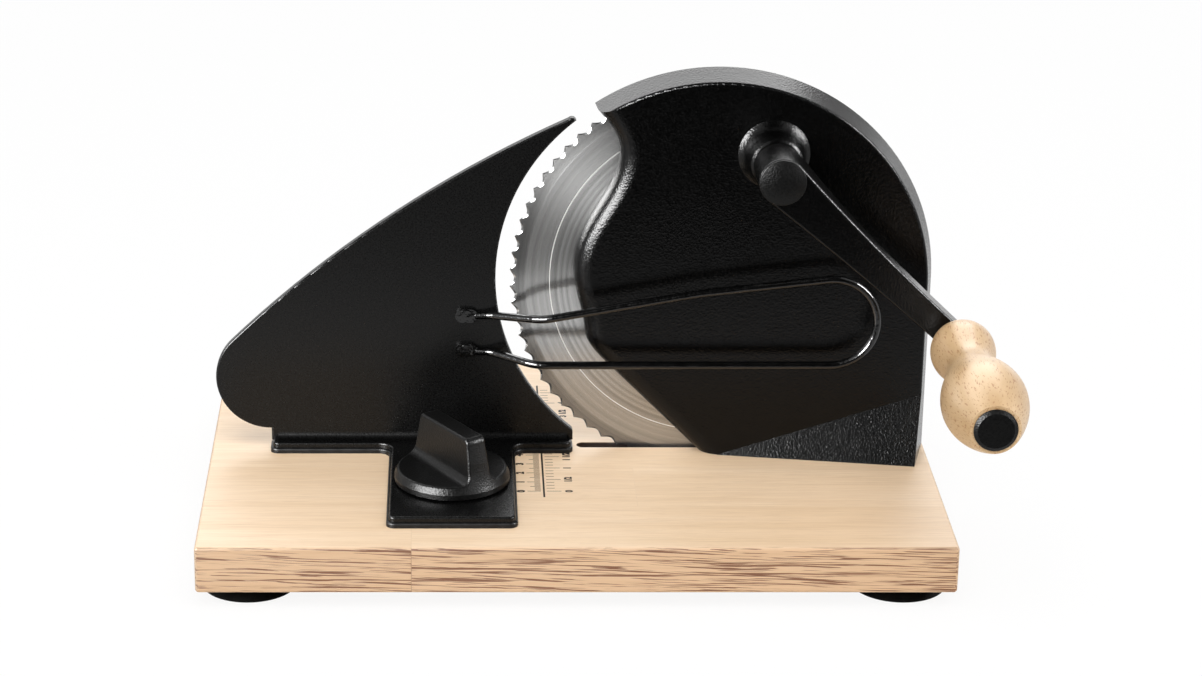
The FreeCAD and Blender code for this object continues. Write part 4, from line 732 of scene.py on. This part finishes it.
columns = on_blade("ADD", on_blade("MULTIPLY", size["Teeth"], size["Steps"]), 1.0)
grid_wires = {"Size X": 1.0, "Size Y": 1.0, "Vertices X": columns, "Vertices Y": grid_rows}
grid = grow(blade_tree, "GeometryNodeMeshGrid", grid_wires)
position = grow(blade_tree, "GeometryNodeInputPosition").outputs[0]
grid_spot = grow(blade_tree, "ShaderNodeSeparateXYZ", {0: position}).outputs
turn = on_blade("ADD", grid_spot["X"], 0.5)
row_up = on_blade("MULTIPLY", on_blade("ADD", grid_spot["Y"], 0.5), grid_rows - 1.0)
row = on_blade("ROUND", row_up)
tooth_phase = on_blade("ADD", on_blade("MULTIPLY", turn, size["Teeth"]), 0.5)
from_middle = on_blade("SUBTRACT", on_blade("FRACT", tooth_phase), 0.5)
print("rows: bore, flat, nick, rim front, rim back, bore back, bore again")

# %% The blade's tree: the scoop of each tooth, and the rim
bowl_share, wave_share = 0.7, 0.3
squared = on_blade("MULTIPLY", on_blade("POWER", from_middle, 2.0), 4.0)
bowl = on_blade("SUBTRACT", 1.0, squared)
cosine = on_blade("COSINE", on_blade("MULTIPLY", from_middle, math.tau))
wave = on_blade("MULTIPLY", on_blade("ADD", cosine, 1.0), 0.5)
scoop = on_blade(
    "ADD",
    on_blade("MULTIPLY", bowl, bowl_share),
    on_blade("MULTIPLY", wave, wave_share),
)
rim_in = on_blade("MULTIPLY", scoop, size["Tooth Depth"])
rim_radius = on_blade("SUBTRACT", size["Radius"], rim_in)
valley = on_blade("SUBTRACT", size["Radius"], size["Tooth Depth"])
bevel_start = on_blade("SUBTRACT", valley, size["Bevel"])
print("each scoop is", bowl_share, "bowl and", wave_share, "wave")

# %% The blade's tree: the bevel and the nick, and the bend into a disc
nick_least = 0.3


def by_row(*values):
    made = grow(blade_tree, "GeometryNodeIndexSwitch", {"Index": row}, data_type="FLOAT")
    while len(made.index_switch_items) < len(values):
        made.index_switch_items.new()
    for index, value in enumerate(values):
        feed(blade_tree, made.inputs[index + 1], value)
    return made.outputs[0]


nick_grows = on_blade("MULTIPLY", scoop, 1.0 - nick_least)
nick_reach = on_blade("MULTIPLY", size["Nick"], on_blade("ADD", nick_grows, nick_least))
nick_radius = on_blade("SUBTRACT", rim_radius, nick_reach)
bevel_share = on_blade(
    "DIVIDE",
    on_blade("SUBTRACT", nick_radius, bevel_start),
    on_blade("SUBTRACT", size["Radius"], bevel_start),
)
bevel_depth = on_blade("MULTIPLY", bevel_share, size["Bevel Depth"])
edge_depth = on_blade("ADD", bevel_depth, size["Nick Depth"])
bore, thick = size["Bore"], size["Thickness"]
row_radius = by_row(bore, bevel_start, nick_radius, rim_radius, rim_radius, bore, bore)
row_depth = by_row(0.0, 0.0, bevel_depth, edge_depth, thick, thick, 0.0)
angle = on_blade("MULTIPLY", turn, math.tau)
bend = {
    "X": on_blade("MULTIPLY", row_radius, on_blade("COSINE", angle)),
    "Y": row_depth,
    "Z": on_blade("MULTIPLY", row_radius, on_blade("SINE", angle)),
}
bent = grow(blade_tree, "ShaderNodeCombineXYZ", bend).outputs[0]
disc_wires = {"Geometry": grid.outputs["Mesh"], "Position": bent}
disc = grow(blade_tree, "GeometryNodeSetPosition", disc_wires).outputs[0]
weld = {"Geometry": disc, "Distance": 0.000001}
closed = grow(blade_tree, "GeometryNodeMergeByDistance", weld).outputs[0]
print("the nick reaches", nick_least, "of its width at a tooth's point, all of it in the scoop")

# %% The blade's tree: the screw holes
screws, drill_sides = 3, 48
clear_of_face = 0.25
ring = grow(
    blade_tree, "GeometryNodeMeshCircle", {"Vertices": screws, "Radius": size["Screw Ring"]}
)
taper = on_blade("SUBTRACT", size["Screw Hole"], size["Screw Neck"])
flare = on_blade("MULTIPLY", taper, clear_of_face)
drill = grow(
    blade_tree,
    "GeometryNodeMeshCone",
    {
        "Vertices": drill_sides,
        "Radius Top": on_blade("SUBTRACT", size["Screw Neck"], flare),
        "Radius Bottom": on_blade("ADD", size["Screw Hole"], flare),
        "Depth": on_blade("MULTIPLY", thick, 1.0 + 2.0 * clear_of_face),
    },
)
drills = grow(
    blade_tree,
    "GeometryNodeInstanceOnPoints",
    {"Points": ring.outputs["Mesh"], "Instance": drill.outputs["Mesh"]},
)
solid_drills = grow(
    blade_tree, "GeometryNodeRealizeInstances", {"Geometry": drills.outputs[0]}
)
behind = {"Y": on_blade("MULTIPLY", thick, 1.0 + clear_of_face)}
drill_start = grow(blade_tree, "ShaderNodeCombineXYZ", behind)
turned = grow(
    blade_tree,
    "GeometryNodeTransform",
    {
        "Geometry": solid_drills.outputs[0],
        "Rotation": (math.radians(90.0), math.radians(-90.0), 0.0),
        "Translation": drill_start.outputs[0],
    },
)
cut = grow(
    blade_tree,
    "GeometryNodeMeshBoolean",
    {"Mesh 1": closed, "Mesh 2": turned.outputs[0]},
    operation="DIFFERENCE",
    solver="EXACT",
)
print("cut for", screws, "screws")

# %% The blade's tree: smooth rim, flat faces
flat_enough, crease_angle = 0.9995, 6.0
normal = grow(blade_tree, "GeometryNodeInputNormal").outputs[0]
facing = grow(blade_tree, "ShaderNodeSeparateXYZ", {0: normal}).outputs["Y"]
is_round = on_blade("LESS_THAN", on_blade("ABSOLUTE", facing), flat_enough)
smooth = grow(
    blade_tree,
    "GeometryNodeSetShadeSmooth",
    {"Geometry": cut.outputs[0], "Shade Smooth": is_round},
    domain="FACE",
)
fold = grow(blade_tree, "GeometryNodeInputMeshEdgeAngle").outputs["Unsigned Angle"]
crease = grow(
    blade_tree,
    "FunctionNodeCompare",
    {0: fold, 1: math.radians(crease_angle)},
    operation="LESS_THAN",
)
edged = grow(
    blade_tree,
    "GeometryNodeSetShadeSmooth",
    {"Geometry": smooth.outputs[0], "Shade Smooth": crease.outputs["Result"]},
    domain="EDGE",
)
end_tree(blade_tree, edged.outputs[0], blade_steel, blade_result)

# %% Bake the blade and put it on its axis


def volume(mesh):
    mesh.calc_loop_triangles()
    total = 0.0
    for triangle in mesh.loop_triangles:
        a, b, c = (mesh.vertices[i].co for i in triangle.vertices)
        total += a.dot(b.cross(c)) / 6.0
    return total


ground_blade = bake("ground_blade", blade_tree, blade_sizes, blade_steel, "blade_unit")
if volume(ground_blade.data) < 0.0:
    ground_blade.data.flip_normals()
for point in ground_blade.data.vertices:
    point.co += Vector((blade_axis.x, blade_low.y, blade_axis.z))
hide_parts("blade")
print("blade volume in cubic mm:", round(volume(ground_blade.data) * 1e9))

# %% [markdown]
# ## The thickness scale
#
# A slice's thickness is read off a scale that is printed on the wood: a long line with
# millimetre marks on its left and eighths of an inch on its right, and small plain numbers
# beside the longer ones, turned to run along the board's depth. Marks at a steady pitch are
# what instancing is for: the tree lays a row of points, puts one thin bar on each, and
# stretches every fifth and tenth millimetre, or every half inch. The long line is the same
# tree once more, with a single mark that is stretched along the board. The ink stands
# 0.02 mm above the wood, less than a sheet of paper, so that it never fights with the
# board's own face.

# %% Ink
ink = finish("scale_ink", (0.014, 0.007, 0.0035), 0.6, Specular_IOR_Level=0.2)
worn = noise(ink, evenly(ink, 900.0), 3.0, 0.6)
ink_tones = ((0.5, (0.010, 0.005, 0.0025)), (0.85, (0.06, 0.032, 0.016)))
wire(ink, ramp(ink, worn, *ink_tones), "Base Color")
print("ink is a worn dark brown")

# %% The tree for one row of marks: how long each mark is
mark_sizes = {
    "Count": 119,
    "Every": 5,
    "Pitch": 0.001,
    "Short": 0.0026,
    "Middle": 0.0045,
    "Long": 0.0058,
    "Side": -1.0,
    "Line": 0.00036,
    "Height": 0.00002,
}
mark_tree, size, mark_result = new_tree("rule_marks", mark_sizes)


def on_marks(operation, *values):
    return sums(mark_tree, operation, *values)


def vector_of(**sides):
    return grow(mark_tree, "ShaderNodeCombineXYZ", sides).outputs[0]


number = grow(mark_tree, "GeometryNodeInputIndex").outputs[0]
twice = on_marks("MULTIPLY", size["Every"], 2.0)
is_middle = on_marks("LESS_THAN", on_marks("MODULO", number, size["Every"]), 0.5)
is_long = on_marks("LESS_THAN", on_marks("MODULO", number, twice), 0.5)
middle_more = on_marks("SUBTRACT", size["Middle"], size["Short"])
long_more = on_marks("SUBTRACT", size["Long"], size["Middle"])
to_middle = on_marks("MULTIPLY", is_middle, middle_more)
to_long = on_marks("MULTIPLY", is_long, long_more)
length = on_marks("ADD", size["Short"], on_marks("ADD", to_middle, to_long))
print("three lengths of mark")

# %% The tree for one row of marks: lay the bars
row_wires = {"Count": size["Count"], "Offset": vector_of(Y=size["Pitch"])}
row_of = grow(mark_tree, "GeometryNodeMeshLine", row_wires, mode="OFFSET").outputs["Mesh"]
aside = on_marks("MULTIPLY", on_marks("MULTIPLY", length, size["Side"]), 0.5)
moved = grow(
    mark_tree, "GeometryNodeSetPosition", {"Geometry": row_of, "Offset": vector_of(X=aside)}
)
bar = grow(mark_tree, "GeometryNodeMeshCube", {"Size": (1.0, 1.0, 1.0)})
bars = grow(
    mark_tree,
    "GeometryNodeInstanceOnPoints",
    {
        "Points": moved.outputs[0],
        "Instance": bar.outputs["Mesh"],
        "Scale": vector_of(X=length, Y=size["Line"], Z=size["Height"]),
    },
)
end_tree(mark_tree, bars.outputs[0], ink, mark_result)

# %% Lay the two rows of marks and the long line
ink_middle = Vector((0.0, 0.0, mark_sizes["Height"] / 2.0))
zero = 58.7
line_start, line_end = 52.3, 182.0
inch = 0.0254


def marks(name, x, y, **sizes):
    piece = bake(name, mark_tree, {**mark_sizes, **sizes}, ink, "frame")
    start = on_board(x, y) + ink_middle
    for point in piece.data.vertices:
        point.co += start


inch_marks = {"Count": 38, "Every": 2, "Pitch": inch / 8, "Side": 1.0}
inch_lengths = {"Short": 0.0035, "Middle": 0.0035, "Long": 0.0064}
one_line = {"Count": 1, "Every": 1, "Long": 0.0008, "Side": 1.0}
one_line["Line"] = (line_end - line_start) / 1000.0
marks("scale_millimetres", 146.5, zero)
marks("scale_inches", 149.1, zero, **inch_marks, **inch_lengths)
marks("scale_line", 147.45, (line_start + line_end) / 2, **one_line)

# %% Plain numbers beside the marks
font_per_digit = 700.0
stroke_share = 0.08


def numeral(text, x, y, height):
    curve = bpy.data.curves.new("numeral", "FONT")
    curve.body = text
    curve.size = height / font_per_digit
    curve.align_x = "CENTER"
    curve.align_y = "CENTER"
    curve.offset = height / 1000.0 * stroke_share
    curve.extrude = ink_middle.z
    curve.resolution_u = 3
    mesh = plain_mesh(in_scene("numeral", curve))
    start = on_board(x, y) + ink_middle
    points = [Vector((-point.co.y, point.co.x, point.co.z)) + start for point in mesh.vertices]
    return points, [tuple(face.vertices) for face in mesh.polygons]


def numbers(name, rows):
    points, faces = [], []
    for text, x, y, height in rows:
        new_points, new_faces = numeral(text, x, y, height)
        faces += [tuple(i + len(points) for i in face) for face in new_faces]
        points += new_points
    mesh = bpy.data.meshes.new(name)
    mesh.from_pydata(points, [], faces)
    mesh.materials.append(ink)
    piece = in_scene(name, mesh)
    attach(piece, "frame")
    print(name, "holds", len(rows), "numbers")


halves = ["0", "1/2", "1", "1 1/2", "2", "2 1/2", "3", "3 1/2", "4", "4 1/2"]
tens = [str(i) for i in range(12)]
numbers("scale_numbers_left", [(t, 138.0, zero + 10.0 * i, 3.2) for i, t in enumerate(tens)])
numbers("scale_numbers_right", [(t, 158.9, zero + 12.7 * i, 3.0) for i, t in enumerate(halves)])

# %% [markdown]
# ## Floor, air and light
#
# The slicer stands on a white floor that runs into a white background. What the camera sees
# of the floor is mostly plain white, mixed by the kind of ray that looks, so that only a
# soft shadow stays on it. Glossy rays get the same white, so metal mirrors it too.
#
# Black paint has almost no colour of its own. It is drawn by what it mirrors, so it needs
# bright soft lamps for its edges, and something dark for its faces. A studio has a lit table
# in front of the object and a dark room behind the camera. Two cards that only reflections
# can see stand for them: a bright one lies just in front of the board, and a dim one goes on
# from its edge along the floor, up behind the camera and overhead.

# %% Floor
floor_half = 8.0
white_share = 0.9


def bare_material(name):
    mat = bpy.data.materials.new(name)
    mat.use_nodes = True
    mat.node_tree.nodes.clear()
    return mat


def seen_plainly(owner):
    rays = add(owner, "LightPath").outputs
    seen = maths(owner, "MAXIMUM", rays["Is Camera Ray"], rays["Is Glossy Ray"])
    return maths(owner, "MAXIMUM", seen, rays["Is Transmission Ray"])


def stage_set(name, corners, faces, mat):
    mesh = bpy.data.meshes.new(name)
    mesh.from_pydata(corners, [], faces)
    mesh.materials.append(mat)
    sheet = in_scene(name, mesh)
    return sheet


floor_white = bare_material("floor_white")
share = maths(floor_white, "MULTIPLY", seen_plainly(floor_white), white_share)
matt = add(floor_white, "BsdfDiffuse", {"Color": (0.86, 0.86, 0.86, 1.0)}).outputs[0]
glow = add(floor_white, "Emission", {"Color": (1.0, 1.0, 1.0, 1.0), "Strength": 1.0}).outputs[0]
both = add(floor_white, "MixShader", {0: share, 1: matt, 2: glow}).outputs[0]
add(floor_white, "OutputMaterial", {"Surface": both})
floor_corners = [
    (x * floor_half, y * floor_half, 0) for x, y in ((-1, -1), (1, -1), (1, 1), (-1, 1))
]
stage_set("floor", floor_corners, [(0, 1, 2, 3)], floor_white)
print("floor laid,", floor_half * 2, "m each way")

# %% The cards that black faces and the blade mirror


def card(name, corners, faces, strength):
    mat = bare_material(name)
    dim = add(mat, "Emission", {"Color": (1.0, 1.0, 1.0, 1.0), "Strength": strength})
    add(mat, "OutputMaterial", {"Surface": dim.outputs[0]})
    made = stage_set(name, corners, faces, mat)
    for kind in ("camera", "diffuse", "transmission", "shadow", "volume_scatter"):
        setattr(made, "visible_" + kind, False)
    print(name, "glows at", strength)


left, right = -0.42, 0.55
near, edge, far, overhead = -0.10, -0.270, -2.3, 0.3
low, high = 0.002, 2.6
table = [(left, near, low), (right, near, low), (right, edge, low), (left, edge, low)]
card("table_card", table, [(0, 1, 2, 3)], 0.95)
room = [(left, edge, low), (right, edge, low), (right, far, low), (left, far, low)]
room += [(2 * left, far, 0.0), (2 * right, far, 0.0)]
room += [(2 * right, far, high), (2 * left, far, high)]
room += [(2 * right, overhead, high), (2 * left, overhead, high)]
card("dark_card", room, [(0, 1, 2, 3), (4, 5, 6, 7), (7, 6, 8, 9)], 0.012)

# %% World
air_light, air_seen = 0.78, 1.0
world = bpy.data.worlds.new("studio_air")
bpy.context.scene.world = world
world.use_nodes = True
world.node_tree.nodes.clear()
air_range = {"Value": seen_plainly(world), "To Min": air_light, "To Max": air_seen}
brightness = add(world, "MapRange", air_range).outputs["Result"]
sky = add(world, "Background", {"Color": (1.0, 1.0, 1.0, 1.0), "Strength": brightness})
add(world, "OutputWorld", {"Surface": sky.outputs[0]})
print("world is white to the camera and to mirrors, softer as a light")

# %% [markdown]
# ## Soft boxes
#
# One large lamp above and in front of the slicer lights everything that is matt, and is
# hidden from gloss. The others are the opposite: only gloss sees them, so each one draws the
# highlight of one edge and leaves the wood and the shadow alone.

# %% Set up the soft boxes
#
# Each row says where a lamp stands, what it aims at, its width and height in metres, its
# power in watts, and the kind of ray that doesn't see it.
middle = (0.0, 0.0, 0.1)
left_aim, right_aim = (0.0, 0.0, 0.12), (0.05, 0.0, 0.12)
soft_boxes = [
    ("back_box", (-0.18, 1.0, 1.0), middle, 1.9, 0.9, 27.0, "diffuse"),
    ("top_fill", (0.05, -1.0, 2.0), middle, 2.0, 1.6, 31.0, "glossy"),
    ("front_soft", (-0.5, -1.3, 0.9), middle, 0.6, 0.45, 1.4, "diffuse"),
    ("left_edge", (-0.90, -0.80, 0.45), left_aim, 1.0, 0.55, 98.0, "diffuse"),
    ("right_edge", (1.1, -0.3, 0.65), right_aim, 0.4, 0.5, 31.0, "diffuse"),
    ("back_right", (0.55, 1.4, 0.14), middle, 0.9, 0.34, 1.1, "diffuse"),
    ("right_front", (0.75, -1.0, 0.40), right_aim, 0.3, 0.3, 1.2, "diffuse"),
]


def softbox(name, position, aim, width, height, power, unseen):
    lamp = bpy.data.lights.new(name, "AREA")
    lamp.shape = "RECTANGLE"
    lamp.size = width
    lamp.size_y = height
    lamp.energy = power
    box = in_scene(name, lamp)
    box.location = position
    way = Vector(aim) - Vector(position)
    box.rotation_euler = way.to_track_quat("-Z", "Y").to_euler()
    setattr(box, "visible_" + unseen, False)
    print(name, power, "W from", position)


for soft_box in soft_boxes:
    softbox(*soft_box)

# %% [markdown]
# ## Last look
#
# The picture is developed with the Standard view, which shows a colour as it is written.

# %% Finish
bpy.context.scene.view_settings.view_transform = "Standard"
